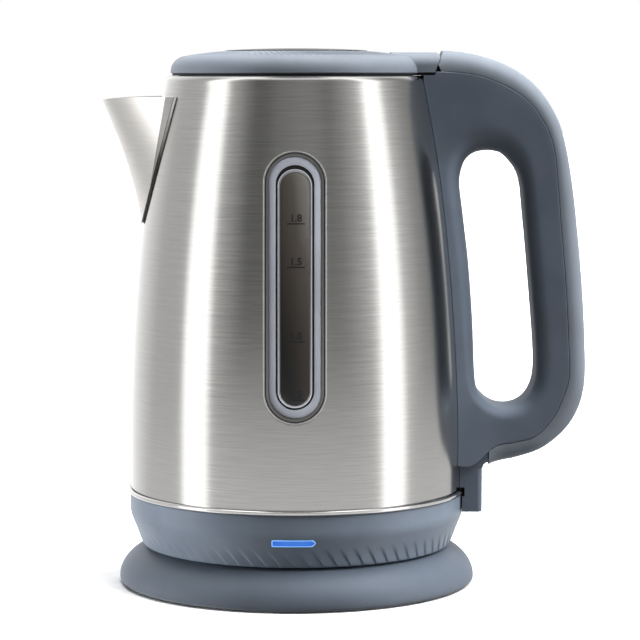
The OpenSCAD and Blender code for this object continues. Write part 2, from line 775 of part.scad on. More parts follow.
// Stations round the handle's loop, clockwise from the top, as seen from -Y. Each gives
// the outer line and the finger hole's line, as a distance outside the body's lower
// radius in percent of the reach and a height in percent of the body's height, then the
// share of the root's width at the outer line and at the hole, the share of the grip's
// width, and the share of the cover's depth.
stations = [
    [-27.2, 105.8,  10.5,  80.6, 0.0, 0.0, 0.0, 1.00],
    [  4.0, 105.3,  20.6,  81.3, 0.0, 0.0, 0.0, 0.98],
    [ 33.5, 102.5,  30.7,  80.6, 0.0, 0.0, 0.2, 0.94],
    [ 55.5,  98.2,  38.6,  79.0, 0.0, 0.0, 0.5, 0.87],
    [ 71.3,  92.2,  44.1,  76.4, 0.0, 0.0, 0.8, 0.80],
    [ 80.9,  85.4,  47.1,  72.9, 0.0, 0.0, 1.0, 0.76],
    [ 87.9,  74.8,  48.9,  67.7, 0.0, 0.0, 1.0, 0.77],
    [ 93.4,  61.2,  51.7,  59.5, 0.0, 0.0, 1.0, 0.78],
    [ 97.2,  48.6,  55.0,  48.6, 0.0, 0.0, 1.0, 0.79],
    [ 99.6,  36.1,  58.5,  36.1, 0.0, 0.0, 1.0, 0.79],
    [100.0,  26.3,  59.4,  29.1, 0.0, 0.0, 1.0, 0.79],
    [ 95.2,  19.5,  57.4,  25.0, 0.0, 0.0, 0.9, 0.90],
    [ 83.6,  14.0,  52.2,  22.0, 0.0, 0.0, 0.7, 0.82],
    [ 64.7,   9.6,  44.9,  20.3, 0.0, 0.0, 0.4, 0.68],
    [ 44.5,   7.4,  35.3,  19.6, 0.0, 0.0, 0.2, 0.76],
    [ 24.3,   6.1,  25.7,  20.1, 0.2, 0.0, 0.0, 0.78],
    [  2.2,   3.5,  16.9,  21.8, 0.8, 0.1, 0.0, 0.40],
    [-19.9,   8.9,  10.8,  24.4, 1.2, 0.1, 0.0, 0.00],
    [-23.5,  22.5,   8.6,  29.1, 1.4, 0.2, 0.0, 0.00],
    [-23.5,  38.8,   7.0,  40.5, 1.4, 0.2, 0.0, 0.00],
    [-27.2,  55.2,   3.7,  54.1, 1.2, 0.1, 0.0, 0.00],
    [-32.7,  68.8,  -0.9,  66.1, 0.8, 0.0, 0.0, 0.00],
    [-41.9,  80.7,  -4.0,  74.2, 0.4, 0.0, 0.0, 0.00],
    [-52.9,  93.3,  -1.1,  77.9, 0.1, 0.0, 0.0, 0.00],
    [-52.9, 103.0,   4.0,  79.7, 0.0, 0.0, 0.0, 0.60]];
top_percent = 105.6;

function handle_x(percent) = body_bottom_r + percent / 100 * handle_reach;
function handle_z(percent) = percent < 100
    ? body_z0 + percent / 100 * body_h
    : body_z1 + (percent - 100) * (lid_z1 - body_z1) / (top_percent - 100);

function station(u) =
    let (n = len(stations), i = floor(u), t = u - i)
    [for (k = [0 : len(stations[0]) - 1])
        blend(stations[(i + n - 1) % n][k], stations[i % n][k], stations[(i + 1) % n][k],
              stations[(i + 2) % n][k], t)];

// One rounded section of the handle from depth a0 to depth a1 below the outer line;
// r0 rounds the outer corners, and the hole's side gets a soft oval corner if a1 is undef
hole_round_a = 9;
hole_round_w = 5.5;
function section_half_w(s, share) =
    let (lean = s[4] + (s[5] - s[4]) * share)
    arm_half_w + (grip_half_w - arm_half_w) * s[6] + (root_half_w - arm_half_w) * lean;
function section(s, from, to, r0) =
    let (p = [handle_x(s[0]), handle_z(s[1])], q = [handle_x(s[2]), handle_z(s[3])],
         length = norm(q - p), u = (q - p) / length,
         a0 = from == "cover" ? s[7] * cover_depth + seat : 0,
         a1 = to == "cover" ? s[7] * cover_depth : length,
         ra = to == "cover" ? 0.6 : min(hole_round_a, (length - a0) * 0.55),
         rw = to == "cover" ? 0.6 : hole_round_w,
         half = concat(
             [for (a = steps(90, 0, 3)) [a0 + r0 * (1 - sin(a)), -r0 * (1 - cos(a))]],
             [for (a = steps(0, 90, 4)) [a1 - ra * (1 - sin(a)), -rw * (1 - cos(a))]]),
         left = [for (c = half) [c[0], section_half_w(s, c[0] / length) + c[1]]],
         loop = concat(left, [for (c = reversed(left)) [c[0], -c[1]]]))
    [for (c = loop) [p[0] + u[0] * c[0], c[1], p[1] + u[1] * c[0]]];

module handle_sweep(first, last, from, to, r0, fine = 3) {
    closed = last - first == len(stations);
    us = steps(first, last - (closed ? 1 / fine : 0), (last - first) * fine - (closed ? 1 : 0));
    rings = [for (u = us) section(station(u), from, to, r0)];
    polyhedron([for (ring = rings) each ring], skin_faces(len(rings), len(rings[0]), closed));
}

// Lid hinge: the pin lies just under the top, near the rear of the lid's tail
knuckle_r = 2.5;
pin_r = 1.25;
pin_x = body_top_r + 2.9;
pin_z = lid_z1 - knuckle_r;
tail_lean = 19.6;
tail_z0 = lid_z0 + 0.4;
ear_y0 = 6;
ear_y1 = 9;
knuckle_gap = 0.3;
ear_foot = 3.6;

// Side outline of the space behind a slanted plane, at distance d behind the pin
function slant_x(z, d) = pin_x + (d + (z - pin_z) * sin(tail_lean)) / cos(tail_lean);

module side_extrude(half_w) {
    translate([0, half_w, 0])
        rotate([90, 0, 0])
            linear_extrude(2 * half_w)
                children();
}

// Lower rear leg that hides the wiring and carries the switch
leg_x = handle_x(15.3);
leg_z0 = skirt_z1 - 8;
leg_z1 = handle_z(6.7);
leg_gap = 0.8;
cover_end_x = handle_x(20.6);
top_screw_y = 11;
top_screw_z = latch_z - 2.2;
low_screw_y = 10.5;
low_screw_z = ring_z1 + 2.4;

// Button, latch and switch
latch_w = 12;
latch_h = 4;
latch_tip_x = plug_r + seat;
latch_end_x = handle_x(7.7);
foot_x0 = handle_x(-3.3);
foot_x1 = foot_x0 + 4;
button_x0 = handle_x(-7.9);
button_z0 = latch_z + 5.2;
pocket_z0 = button_z0 - button_travel - 0.4;
spring_x = foot_x0 + 12.6;
spring_z0 = latch_z - 7;
switch_x = leg_x - 2.5;
switch_swing = 10;
arm_z = skirt_z1 - 3.6;
arm_slot_h = 4.2;
arm_slot_w = 5;

module ear(y0, y1) {
    translate([0, y1, 0])
        rotate([90, 0, 0])
            linear_extrude(y1 - y0) {
                translate([pin_x, pin_z])
                    circle(r = knuckle_r - 0.1, $fn = 48);
                polygon([[pin_x - 2, pin_z], [pin_x + 2, pin_z - 0.6],
                         [pin_x + ear_foot, body_z1 - 1], [pin_x - 1.4, body_z1 - 1]]);
            }
}

module handle_frame() color(slate_dark) difference() {
    union() {
        difference() {
            union() {
                handle_sweep(0, len(stations), "cover", "hole", 0.6);
                round_plate(body_bottom_r - 9, leg_x, arm_half_w, 2.5, leg_z0, leg_z1 + 3);
                // Web from the leg to the end of the cover
                side_extrude(arm_half_w)
                    polygon([[body_bottom_r - 4, leg_z1 - 3], [leg_x - 2, leg_z1 - 3],
                             [leg_x, leg_z1 - 3], [leg_x + 0.5, leg_z1 - 1.4],
                             [leg_x + 1.5, leg_z1 - 0.8], [cover_end_x - seat, leg_z1 - 0.4],
                             [cover_end_x - seat, leg_z1 + 10], [body_bottom_r - 4, leg_z1 + 20]]);
            }
            // The body, its shoulder, the ring and the skirt
            body_band(body_z0 - 1, shoulder_z, -40, seat, 24);
            translate([0, 0, shoulder_z - eps])
                cylinder(r = body_r(shoulder_z) + seat, h = body_z1 - shoulder_z + 0.2 + 2 * eps);
            translate([0, 0, ring_z0 - 1.5])
                cylinder(r = ring_r + leg_gap, h = ring_h + 3);
            skirt_band(leg_z0 - 3, skirt_z1, -40, leg_gap, 8);
            // Room for the lid and for its tail
            side_extrude(40)
                polygon([[0, body_z1 + 0.2], [slant_x(body_z1 + 0.2, knuckle_r + seat), body_z1 + 0.2],
                         [slant_x(lid_z1 + 6, knuckle_r + seat), lid_z1 + 6], [0, lid_z1 + 6]]);
        }
        for (side = [-1, 1])
            ear(side * (ear_y0 + ear_y1) / 2 - 1.5, side * (ear_y0 + ear_y1) / 2 + 1.5);
    }
    side_bore(pin_x, pin_z, pin_r + 0.01, 20);
    // Room for the button, its spring and the latch
    round_plate(button_x0 - seat, button_x0 + button_l + seat, button_w / 2 + seat, 3,
                pocket_z0, lid_z1 + 6);
    translate([spring_x, 0, spring_z0])
        cylinder(r = 3.9, h = 20, $fn = 40);
    translate([collar_r - 10, -latch_w / 2 - seat, latch_z - latch_h / 2 - seat])
        cube([latch_end_x + 13 - collar_r, latch_w + 2 * seat, latch_h + 2 * seat]);
    translate([foot_x0 - 4, -5, latch_z])
        cube([latch_end_x - foot_x0 + 7, 10, pocket_z0 - latch_z + eps]);
    // Pocket, pin and arm of the switch
    translate([switch_x - 2.3, -switch_w / 2 - seat, switch_z - switch_h / 2 - 0.4])
        cube([20, switch_w + 2 * seat, switch_h + 0.8]);
    side_bore(switch_x, switch_z, 1.01, 10.6);
    translate([skirt_top_r - 15, -arm_slot_w / 2, arm_z - arm_slot_h / 2])
        cube([switch_x - skirt_top_r + 15, arm_slot_w, arm_slot_h]);
    for (y = [-1, 1]) {
        translate([collar_r, y * top_screw_y, top_screw_z])
            rotate([0, 90, 0])
                cylinder(r = 1.26, h = 21, $fn = 32);
        translate([spigot_r - 6, y * low_screw_y, low_screw_z])
            rotate([0, 90, 0])
                cylinder(r = 1.26, h = 13.5, $fn = 32);
    }
}

// A bore along Y
module side_bore(x, z, r, half) {
    translate([x, half, z])
        rotate([90, 0, 0])
            cylinder(r = r, h = 2 * half, $fn = 48);
}

// Last station of the cover strip, its edge's radius, and a width that passes every piece
cover_last = 15.6;
cover_round = 5.5;
wide = 40;
module handle_cover() color(slate) difference() {
    handle_sweep(0, cover_last, "outer", "cover", cover_round);
    side_extrude(wide)
        polygon([[0, body_z1 - 5], [slant_x(body_z1 - 5, knuckle_r + seat), body_z1 - 5],
                 [slant_x(lid_z1 + 6, knuckle_r + seat), lid_z1 + 6], [0, lid_z1 + 6]]);
    translate([cover_end_x - wide, -wide, body_z0])
        cube([wide, 2 * wide, body_h * 0.16]);
    round_plate(button_x0 - seat, button_x0 + button_l + seat, button_w / 2 + seat, 3,
                pocket_z0 - 3, lid_z1 + 6);
    // Notches for the feet of the hinge ears
    for (side = [-1, 1])
        translate([pin_x - 4, side * (ear_y0 + ear_y1) / 2 - 1.5 - seat, body_z1 - 5])
            cube([4 + ear_foot + seat, ear_y1 - ear_y0 + 2 * seat, pin_z - body_z1 + 5]);
}

module handle_screws() color("#8f9296") for (y = [-1, 1]) {
    translate([collar_r + 1, y * top_screw_y, top_screw_z])
        rotate([0, 90, 0])
            screw(1.25, 18.5, 2.8, 1.4);
    translate([spigot_r - 3.2, y * low_screw_y, low_screw_z])
        rotate([0, 90, 0])
            screw(1.25, 10, 2.6, 1.2);
}

// ---------------------------------------------------------------- lid

module lid_pin() color("#9a9c9f") side_bore(pin_x, pin_z, pin_r, 14);

lid_bend = 7;
dome_z = lid_z1 + 0.5;
disc_gap = 0.5;
disc_floor = dome_z - 1.2;
shelf_r = lid_r - 2.4;
shelf_z = lid_z0 + 2.5;
function lid_dome(r) = let (edge = lid_r - lid_bend + 1)
    dome_z - (dome_z - (lid_z0 + 0.7 + lid_bend * cos(8.2))) * pow(max(r - disc_r, 0) / (edge - disc_r), 1.4);
module lid_section() {
    polygon(concat(
        [[shelf_r, lid_z0], [lid_r - 0.6, lid_z0]],
        arc(lid_r - lid_bend, lid_z0 + 0.7, lid_bend, 0, 78, 8),
        [for (r = steps(lid_r - lid_bend + 1, disc_r + disc_gap, 6)) [r, lid_dome(r)]],
        [[disc_r + disc_gap, disc_floor], [0, disc_floor], [0, disc_floor - lid_wall],
         [disc_r - 1, disc_floor - lid_wall], [disc_r + 1.5, dome_z - lid_wall]],
        [for (r = steps(disc_r + 4, lid_r - lid_bend, 4)) [r, lid_dome(r) - lid_wall]],
        [[shelf_r - 2, shelf_z + 1.5], [shelf_r - 2, shelf_z], [shelf_r, shelf_z]]));
}

// Fine pleats between the disc and the dome's edge: each is a straight, skewed groove,
// so it is deepest halfway and runs out at both ends
pleat_skew = 27;
pleat_end_depth = 0.06;
pleat_slope = 0.34;
module pleats() {
    r0 = disc_r + 2;
    r1 = lid_r - lid_bend + 0.5;
    mid = (r0 + r1) / 2;
    fall = atan((lid_dome(r0) - lid_dome(r1)) / (r1 - r0) * cos(pleat_skew));
    length = (r1 - r0) / cos(pleat_skew) + 4;
    around(pleat_count)
        translate([mid, 0, (lid_dome(r0) + lid_dome(r1)) / 2 - pleat_end_depth])
            rotate([0, 0, pleat_skew])
                rotate([0, 90 + fall, 0])
                    rotate([0, 0, 180])
                        translate([0, 0, -length / 2])
                            groove(pleat_slope, groove_share * 2 * PI * r0 / pleat_count, length);
}

// The tail's side outline, with its rear corner rounded about the pin
module tail_outline(grow = 0) {
    polygon(concat(
        [[lid_r - 14, tail_z0], [slant_x(tail_z0, knuckle_r), tail_z0]],
        [for (a = steps(-tail_lean, 90, 6))
            [pin_x + knuckle_r * cos(a), pin_z + knuckle_r * sin(a)]],
        [[lid_r - 14, lid_z1]]));
}

// Cross-section of the tail: flat top with round edges
tail_round = 4.5;
module tail_cross() {
    polygon(concat(
        [[-arm_half_w, tail_z0 - 1], [arm_half_w, tail_z0 - 1]],
        arc(arm_half_w - tail_round, lid_z1 - tail_round, tail_round, 0, 90, 6),
        arc(tail_round - arm_half_w, lid_z1 - tail_round, tail_round, 90, 180, 6)));
}

lid_screw_ring = 38;
module lid_cover() color(slate) difference() {
    union() {
        difference() {
            rotate_extrude() lid_section();
            pleats();
        }
        intersection() {
            side_extrude(arm_half_w) tail_outline();
            translate([lid_r - 20, 0, 0])
                rotate([90, 0, 90])
                    linear_extrude(40) tail_cross();
            // Only the part outside the dome's wall
            difference() {
                translate([lid_r - 20, -40, tail_z0 - 2])
                    cube([60, 80, 40]);
                translate([0, 0, tail_z0 - 3])
                    cylinder(r = shelf_r, h = shelf_z - tail_z0 + 3);
                translate([0, 0, shelf_z - eps])
                    cylinder(r = shelf_r - 2, h = lid_dome(shelf_r - 4) - lid_wall - shelf_z);
            }
        }
        around(3, 60)
            translate([lid_screw_ring, 0, plug_z0 + lid_wall + seat])
                cylinder(r = 3.2, h = dome_z - lid_wall - plug_z0 - lid_wall, $fn = 40);
    }
    // Slots for the two ears and for the spring
    for (side = [-1, 1])
        translate([pin_x - knuckle_r - knuckle_gap,
                   side * (ear_y0 + ear_y1) / 2 - 1.5 - knuckle_gap, tail_z0 - 4])
            cube([20, 3 + 2 * knuckle_gap, 40]);
    translate([pin_x - knuckle_r - knuckle_gap, -spring_half_w - knuckle_gap, tail_z0 - 4])
        cube([20, 2 * spring_half_w + 2 * knuckle_gap, 40]);
    side_bore(pin_x, pin_z, pin_r + run, 14.3);
    around(3, 60)
        translate([lid_screw_ring, 0, plug_z0])
            cylinder(r = 1.3, h = 14, $fn = 32);
}

plug_z0 = lid_z0 - plug_depth;
flange_r = shelf_r - 0.4;
module lid_plug() color("#6a7078") difference() {
    rotate_extrude()
        polygon([[0, plug_z0], [plug_r - 1.5, plug_z0], [plug_r, plug_z0 + 1.5],
                 [plug_r, shelf_z - seat - 1.6], [flange_r, shelf_z - seat - 1.6],
                 [flange_r, shelf_z - seat], [plug_r - lid_wall, shelf_z - seat],
                 [plug_r - lid_wall, plug_z0 + lid_wall], [0, plug_z0 + lid_wall]]);
    around(3, 60)
        translate([lid_screw_ring, 0, plug_z0 - eps]) {
            cylinder(r = 1.7, h = 10, $fn = 32);
            cylinder(r = 3.2, h = 1.0 + eps, $fn = 32);
        }
}

module lid_seal() color("#cfd3d6")
    pipe(collar_r - seat, plug_r + 0.1, body_z1 - 3.1, body_z1 - 0.8);

module lid_disc() color("#3a2f2b") rotate_extrude()
    polygon(concat([[0, disc_floor + seat], [disc_r, disc_floor + seat],
                    [disc_r, dome_z + 0.1]],
                   [for (r = steps(disc_r - 0.6, 0, 8))
                       [r, dome_z + 0.4 + 0.9 * (1 - pow(r / disc_r, 2))]]));

module lid_screws() color("#8f9296") around(3, 60)
    translate([lid_screw_ring, 0, plug_z0 + 1.0])
        screw(1.25, 10, 2.8, 0.9);

spring_half_w = 3;
module lid_spring() color("#9a9c9f")
    translate([pin_x, spring_half_w, pin_z])
        rotate([90, 0, 0])
            coil(pin_r + 0.65, 0.35, 2 * spring_half_w, 5);

// ---------------------------------------------------------------- button, latch, switch

module lid_button() color(slate_dark) {
    intersection() {
        handle_sweep(0, 5, "outer", "hole", cover_round);
        round_plate(button_x0, button_x0 + button_l, button_w / 2, 3, button_z0, lid_z1 + 6);
    }
    // Wedge that draws the latch back
    side_extrude(4)
        polygon([[foot_x0, button_z0 + 1], [foot_x1, button_z0 + 1],
                 [foot_x1, latch_z + 3.3], [foot_x1 - 2.6, latch_z + 0.7],
                 [foot_x0, latch_z + 0.7]]);
}

module button_spring() color("#9a9c9f")
    translate([spring_x, 0, spring_z0 + seat])
        coil(3, 0.4, button_z0 - spring_z0 - 2 * seat, 5);

module lid_latch() color("#c9cbce") {
    low = latch_z - latch_h / 2;
    high = latch_z + latch_h / 2;
    ramp = foot_x1 - latch_z - 3.3 + seat * sqrt(2);
    side_extrude(latch_w / 2)
        polygon([[latch_tip_x, low], [foot_x0 - 3.4, low], [foot_x0 - 3.4, high],
                 [latch_tip_x + 1.5, high], [latch_tip_x, high - 1.5]]);
    side_extrude(latch_w / 2)
        polygon([[ramp + low, low], [latch_end_x, low], [latch_end_x, high], [ramp + high, high]]);
    for (side = [-1, 1])
        translate([foot_x0 - 4, side * (latch_w / 2 - 0.7) - 0.7, low])
            cube([latch_end_x - foot_x0 + 4, 1.4, latch_h]);
}

module power_switch() color("#3b4047") difference() {
    union() {
        side_extrude(switch_w / 2)
            polygon([[leg_x - 0.2, switch_z + switch_h / 2 - 0.2], [leg_x - 0.1, switch_z],
                     [leg_x - 1.5, switch_z - switch_h / 2 + 0.2],
                     [leg_x - 3.5, switch_z - switch_h / 2 + 0.7], [leg_x - 4.1, switch_z],
                     [leg_x - 2.2, switch_z + switch_h / 2 - 0.5]]);
        // Arm that reaches the control inside the skirt
        translate([handle_x(-16.5), -2, arm_z - 0.4])
            cube([leg_x - 3 - handle_x(-16.5), 4, 2]);
    }
    side_bore(switch_x, switch_z, 1 + run, 20);
}

module switch_pin() color("#9a9c9f") side_bore(switch_x, switch_z, 1, 10.4);

// ---------------------------------------------------------------- assembly

base_cover();
base_plate();
base_feet();
base_connector();
base_contacts();
base_screws();
lead_bush();
connector_socket();
socket_contacts();
skirt();
bottom_cover();
bottom_screws();
trim_ring();
indicator_lens();
indicator_board();
body_shell();
spout();
spout_filter();
top_collar();
window_lens();
window_seal();
window_clamp();
heating_plate();
heat_spreader();
heater_element();
control_unit();
bimetal_discs();
control_studs();
terminal_tabs();
steam_tube();
handle_frame();
handle_cover();
handle_screws();
lid_pin();
lid_cover();
lid_plug();
lid_seal();
lid_disc();
lid_screws();
lid_spring();
lid_button();
button_spring();
lid_latch();
power_switch();
switch_pin();
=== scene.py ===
"""An electric kettle on its power base: surfaces, finishes, lights and camera.

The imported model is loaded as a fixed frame. Each sub-assembly class gives a finish to the nodes
whose form is already right, and rebuilds the visible shells in the same place with finer form.
Shapes are worked out in millimetres and turned into metres when a mesh is made.
"""

from __future__ import annotations

import json
import logging
import math
from dataclasses import dataclass, field
from enum import Enum
from typing import Callable, Iterable, Sequence

import bmesh
import bpy
import numpy as np
from mathutils import Matrix, Vector

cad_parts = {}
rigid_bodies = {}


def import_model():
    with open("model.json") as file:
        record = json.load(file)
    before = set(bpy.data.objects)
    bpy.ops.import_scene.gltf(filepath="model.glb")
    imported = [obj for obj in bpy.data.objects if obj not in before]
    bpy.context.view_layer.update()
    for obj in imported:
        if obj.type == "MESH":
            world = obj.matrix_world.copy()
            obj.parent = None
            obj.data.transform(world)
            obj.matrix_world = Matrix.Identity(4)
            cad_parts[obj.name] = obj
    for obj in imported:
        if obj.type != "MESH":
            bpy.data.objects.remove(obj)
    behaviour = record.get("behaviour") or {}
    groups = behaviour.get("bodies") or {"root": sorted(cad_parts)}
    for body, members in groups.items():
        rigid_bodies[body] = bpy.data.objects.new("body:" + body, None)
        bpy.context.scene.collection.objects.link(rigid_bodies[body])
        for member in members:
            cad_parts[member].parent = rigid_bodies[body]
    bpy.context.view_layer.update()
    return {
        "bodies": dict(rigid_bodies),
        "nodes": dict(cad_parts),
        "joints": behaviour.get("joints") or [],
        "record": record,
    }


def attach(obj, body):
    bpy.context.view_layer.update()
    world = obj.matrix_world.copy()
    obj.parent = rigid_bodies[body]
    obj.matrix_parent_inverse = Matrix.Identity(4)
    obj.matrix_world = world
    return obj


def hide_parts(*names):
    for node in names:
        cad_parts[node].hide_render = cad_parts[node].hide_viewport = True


LOG = logging.getLogger("kettle")
MM = 0.001
Point = tuple[float, float, float]


# ------------------------------------------------------------------ shader graph


class Wire:
    """One output socket, with arithmetic that adds Math nodes."""

    def __init__(self, graph: "Graph", socket: bpy.types.NodeSocket) -> None:
        """Keeps the graph that owns the socket."""
        self.graph = graph
        self.socket = socket

    def math(self, operation: str, *others: "Wire | float") -> "Wire":
        """Adds one Math node."""
        values = {i: v for i, v in enumerate((self, *others))}
        return self.graph.add("ShaderNodeMath", {"operation": operation}, values)

    def __add__(self, other: "Wire | float") -> "Wire":
        """self + other."""
        return self.math("ADD", other)

    __radd__ = __add__

    def __sub__(self, other: "Wire | float") -> "Wire":
        """self - other."""
        return self.math("SUBTRACT", other)

    def __rsub__(self, other: float) -> "Wire":
        """other - self."""
        return (self * -1.0) + other

    def __mul__(self, other: "Wire | float") -> "Wire":
        """self * other."""
        return self.math("MULTIPLY", other)

    __rmul__ = __mul__

    def smooth(self, low: float, high: float) -> "Wire":
        """A smooth step from 0 at low to 1 at high."""
        settings = {"interpolation_type": "SMOOTHSTEP"}
        return self.graph.add("ShaderNodeMapRange", settings, {0: self, 1: low, 2: high})


class Graph:
    """The node tree of one material."""

    def __init__(self, name: str) -> None:
        """Starts an empty material with an output node.

        Args:
            name: the finish's name.
        """
        self.material = bpy.data.materials.new(f"{name}_finish")
        self.material.use_nodes = True
        self.tree = self.material.node_tree
        self.tree.nodes.clear()
        self.output = self.tree.nodes.new("ShaderNodeOutputMaterial")

    def node(self, kind: str, settings: dict, inputs: dict) -> bpy.types.Node:
        """Adds one node.

        Args:
            kind: the node's type name.
            settings: attributes that are set first; "stops" fills a colour ramp.
            inputs: a value or a Wire for each socket, by name or number.

        Returns:
            The node.
        """
        node = self.tree.nodes.new(kind)
        for key, value in settings.items():
            if key == "stops":
                self._ramp(node, value)
            else:
                setattr(node, key, value)
        for key, value in inputs.items():
            socket = node.inputs[key]
            if isinstance(value, Wire):
                self.tree.links.new(value.socket, socket)
            else:
                socket.default_value = value
        return node

    def add(self, kind: str, settings: dict, inputs: dict, output: int | str = 0) -> Wire:
        """Adds one node and gives one of its outputs."""
        return Wire(self, self.node(kind, settings, inputs).outputs[output])

    @staticmethod
    def _ramp(node: bpy.types.Node, stops: Sequence[tuple[float, Sequence[float]]]) -> None:
        """Fills a colour ramp from (position, colour) pairs.

        Args:
            node: the colour ramp.
            stops: (position, colour) pairs, in order.
        """
        elements = node.color_ramp.elements
        for i, (position, colour) in enumerate(stops):
            element = elements[i] if i < 2 else elements.new(position)
            element.position = position
            element.color = (*colour, 1.0)

    def place(self) -> Wire:
        """The position on the object, in metres."""
        return self.add("ShaderNodeTexCoord", {}, {}, "Object")

    def stretched(self, place: Wire, scale: Point) -> Wire:
        """A position scaled along each axis."""
        return self.add("ShaderNodeMapping", {}, {"Vector": place, "Scale": scale})

    def noise(self, place: Wire, scale: float, detail: float = 2.0, rough: float = 0.5) -> Wire:
        """Fractal noise from 0 to 1."""
        inputs = {"Vector": place, "Scale": scale, "Detail": detail, "Roughness": rough}
        return self.add("ShaderNodeTexNoise", {}, inputs)

    def tint(self, factor: Wire | float, low: Sequence[float], high: Sequence[float]) -> Wire:
        """A colour between low and high.

        Args:
            factor: 0 for low, 1 for high.
            low: the colour at 0.
            high: the colour at 1.

        Returns:
            The colour.
        """
        inputs = {"Factor": factor, "A": (*low, 1.0), "B": (*high, 1.0)}
        node = self.node("ShaderNodeMix", {"data_type": "RGBA"}, {})
        for key, value in inputs.items():
            socket = next(s for s in node.inputs if s.name == key and s.enabled)
            if isinstance(value, Wire):
                self.tree.links.new(value.socket, socket)
            else:
                socket.default_value = value
        return Wire(self, next(s for s in node.outputs if s.enabled))

    def bump(self, height: Wire, strength: float, distance: float) -> Wire:
        """A normal from a height; the distance is in metres."""
        inputs = {"Height": height, "Strength": strength, "Distance": distance}
        return self.add("ShaderNodeBump", {}, inputs)

    def finish(self, **inputs: object) -> bpy.types.Material:
        """Ends the graph in a Principled shader with these inputs.

        Args:
            inputs: the shader's sockets by name, with _ for a space.

        Returns:
            The material.
        """
        named = {key.replace("_", " "): value for key, value in inputs.items()}
        shader = self.node("ShaderNodeBsdfPrincipled", {}, named)
        self.tree.links.new(shader.outputs[0], self.output.inputs[0])
        return self.material


# ------------------------------------------------------------------ finishes


@dataclass(frozen=True)
class Moulded:
    """Moulded plastic with a fine spark-eroded grain and a faint unevenness."""

    name: str
    colour: Point
    roughness: float = 0.5
    grain: float = 2600.0
    depth: float = 0.00002
    coat: float = 0.0
    specular: float = 0.5

    def make(self) -> bpy.types.Material:
        """Builds the material.

        Returns:
            The material.
        """
        g = Graph(self.name)
        place = g.place()
        cloud = g.noise(place, 38.0, 3.0)
        grain = g.noise(place, self.grain, 2.0, 0.6)
        dark = tuple(c * 0.93 for c in self.colour)
        light = tuple(min(1.0, c * 1.06) for c in self.colour)
        colour = g.tint(cloud.smooth(0.35, 0.65), dark, light)
        rough = (cloud - 0.5) * 0.12 + (grain - 0.5) * 0.1 + self.roughness
        return g.finish(
            Base_Color=colour, Roughness=rough, Specular_IOR_Level=self.specular,
            Coat_Weight=self.coat, Coat_Roughness=0.12,
            Normal=g.bump(grain, 0.35, self.depth),
        )


@dataclass(frozen=True)
class BrushedSteel:
    """Stainless steel with fine lines brushed round the vertical axis."""

    name: str
    colour: Point = (0.60, 0.593, 0.578)
    roughness: float = 0.23
    along: float = 55.0
    across: float = 2600.0
    anisotropy: float = 0.75
    depth: float = 0.000012
    calm: float = 0.55
    calm_from: float = 0.03
    calm_full: float = 0.062

    def make(self) -> bpy.types.Material:
        """Builds the material.

        Returns:
            The material.
        """
        g = Graph(self.name)
        place = g.place()
        lines = g.noise(g.stretched(place, (self.along, self.along, self.across)), 1.0, 2.0, 0.6)
        wide = g.noise(
            g.stretched(place, (self.along * 0.35, self.along * 0.35, self.across * 0.3)), 1.0, 2.0
        )
        haze = g.noise(g.stretched(place, (9.0, 9.0, 26.0)), 1.0, 2.0)
        off_middle = g.add("ShaderNodeSeparateXYZ", {}, {0: place}, "X").math("ABSOLUTE")
        aside = off_middle.smooth(self.calm_from, self.calm_full)
        streak = (lines * 0.8 + wide * 0.2 - 0.5) * (1 - aside * self.calm) + 0.5
        dark = tuple(c * 0.90 for c in self.colour)
        light = tuple(min(1.0, c * 1.07) for c in self.colour)
        colour = g.tint(streak.smooth(0.25, 0.75), dark, light)
        rough = (streak - 0.5) * 0.08 + (haze - 0.5) * 0.05 + self.roughness
        return g.finish(
            Base_Color=colour, Metallic=1.0, Roughness=rough, Anisotropic=self.anisotropy,
            Anisotropic_Rotation=0.25,
            Normal=g.bump(streak, 0.12, self.depth),
        )


@dataclass(frozen=True)
class PlainMetal:
    """Turned, drawn or polished metal with a light wear in its gloss."""

    name: str
    colour: Point
    roughness: float = 0.3
    scale: float = 400.0

    def make(self) -> bpy.types.Material:
        """Builds the material.

        Returns:
            The material.
        """
        g = Graph(self.name)
        cloud = g.noise(g.place(), self.scale, 3.0)
        dark = tuple(c * 0.88 for c in self.colour)
        colour = g.tint(cloud, dark, self.colour)
        rough = (cloud - 0.5) * 0.14 + self.roughness
        return g.finish(
            Base_Color=colour, Metallic=1.0, Roughness=rough, Normal=g.bump(cloud, 0.15, 0.00001)
        )


@dataclass(frozen=True)
class Gauge:
    """The gauge's strip: opaque, with painted light and shade, lighter at the top and the right."""

    name: str
    low: float
    high: float

    def make(self) -> bpy.types.Material:
        """Builds the material.

        Returns:
            The material.
        """
        g = Graph(self.name)
        place = g.place()
        height = g.add("ShaderNodeSeparateXYZ", {}, {0: place}, "Z")
        cloud = g.noise(g.stretched(place, (60.0, 60.0, 18.0)), 1.0, 2.0)
        side = g.add("ShaderNodeSeparateXYZ", {}, {0: place}, "X").smooth(-0.006, 0.006)
        # Painted light and shade: the strip's colour is lighter towards the top and the right.
        level = height.smooth(self.low * MM, self.high * MM) * 0.7 + side * 0.36 - 0.1
        stops = [(0.0, (0.008, 0.008, 0.008)), (0.35, (0.042, 0.035, 0.030)),
                 (0.7, (0.085, 0.074, 0.064)), (1.0, (0.20, 0.195, 0.185))]
        colour = g.add("ShaderNodeValToRGB", {"stops": stops}, {0: level})
        return g.finish(
            Base_Color=colour, Roughness=(cloud - 0.5) * 0.04 + 0.28,
            Normal=g.bump(g.noise(place, 700.0), 0.1, 0.00001),
        )


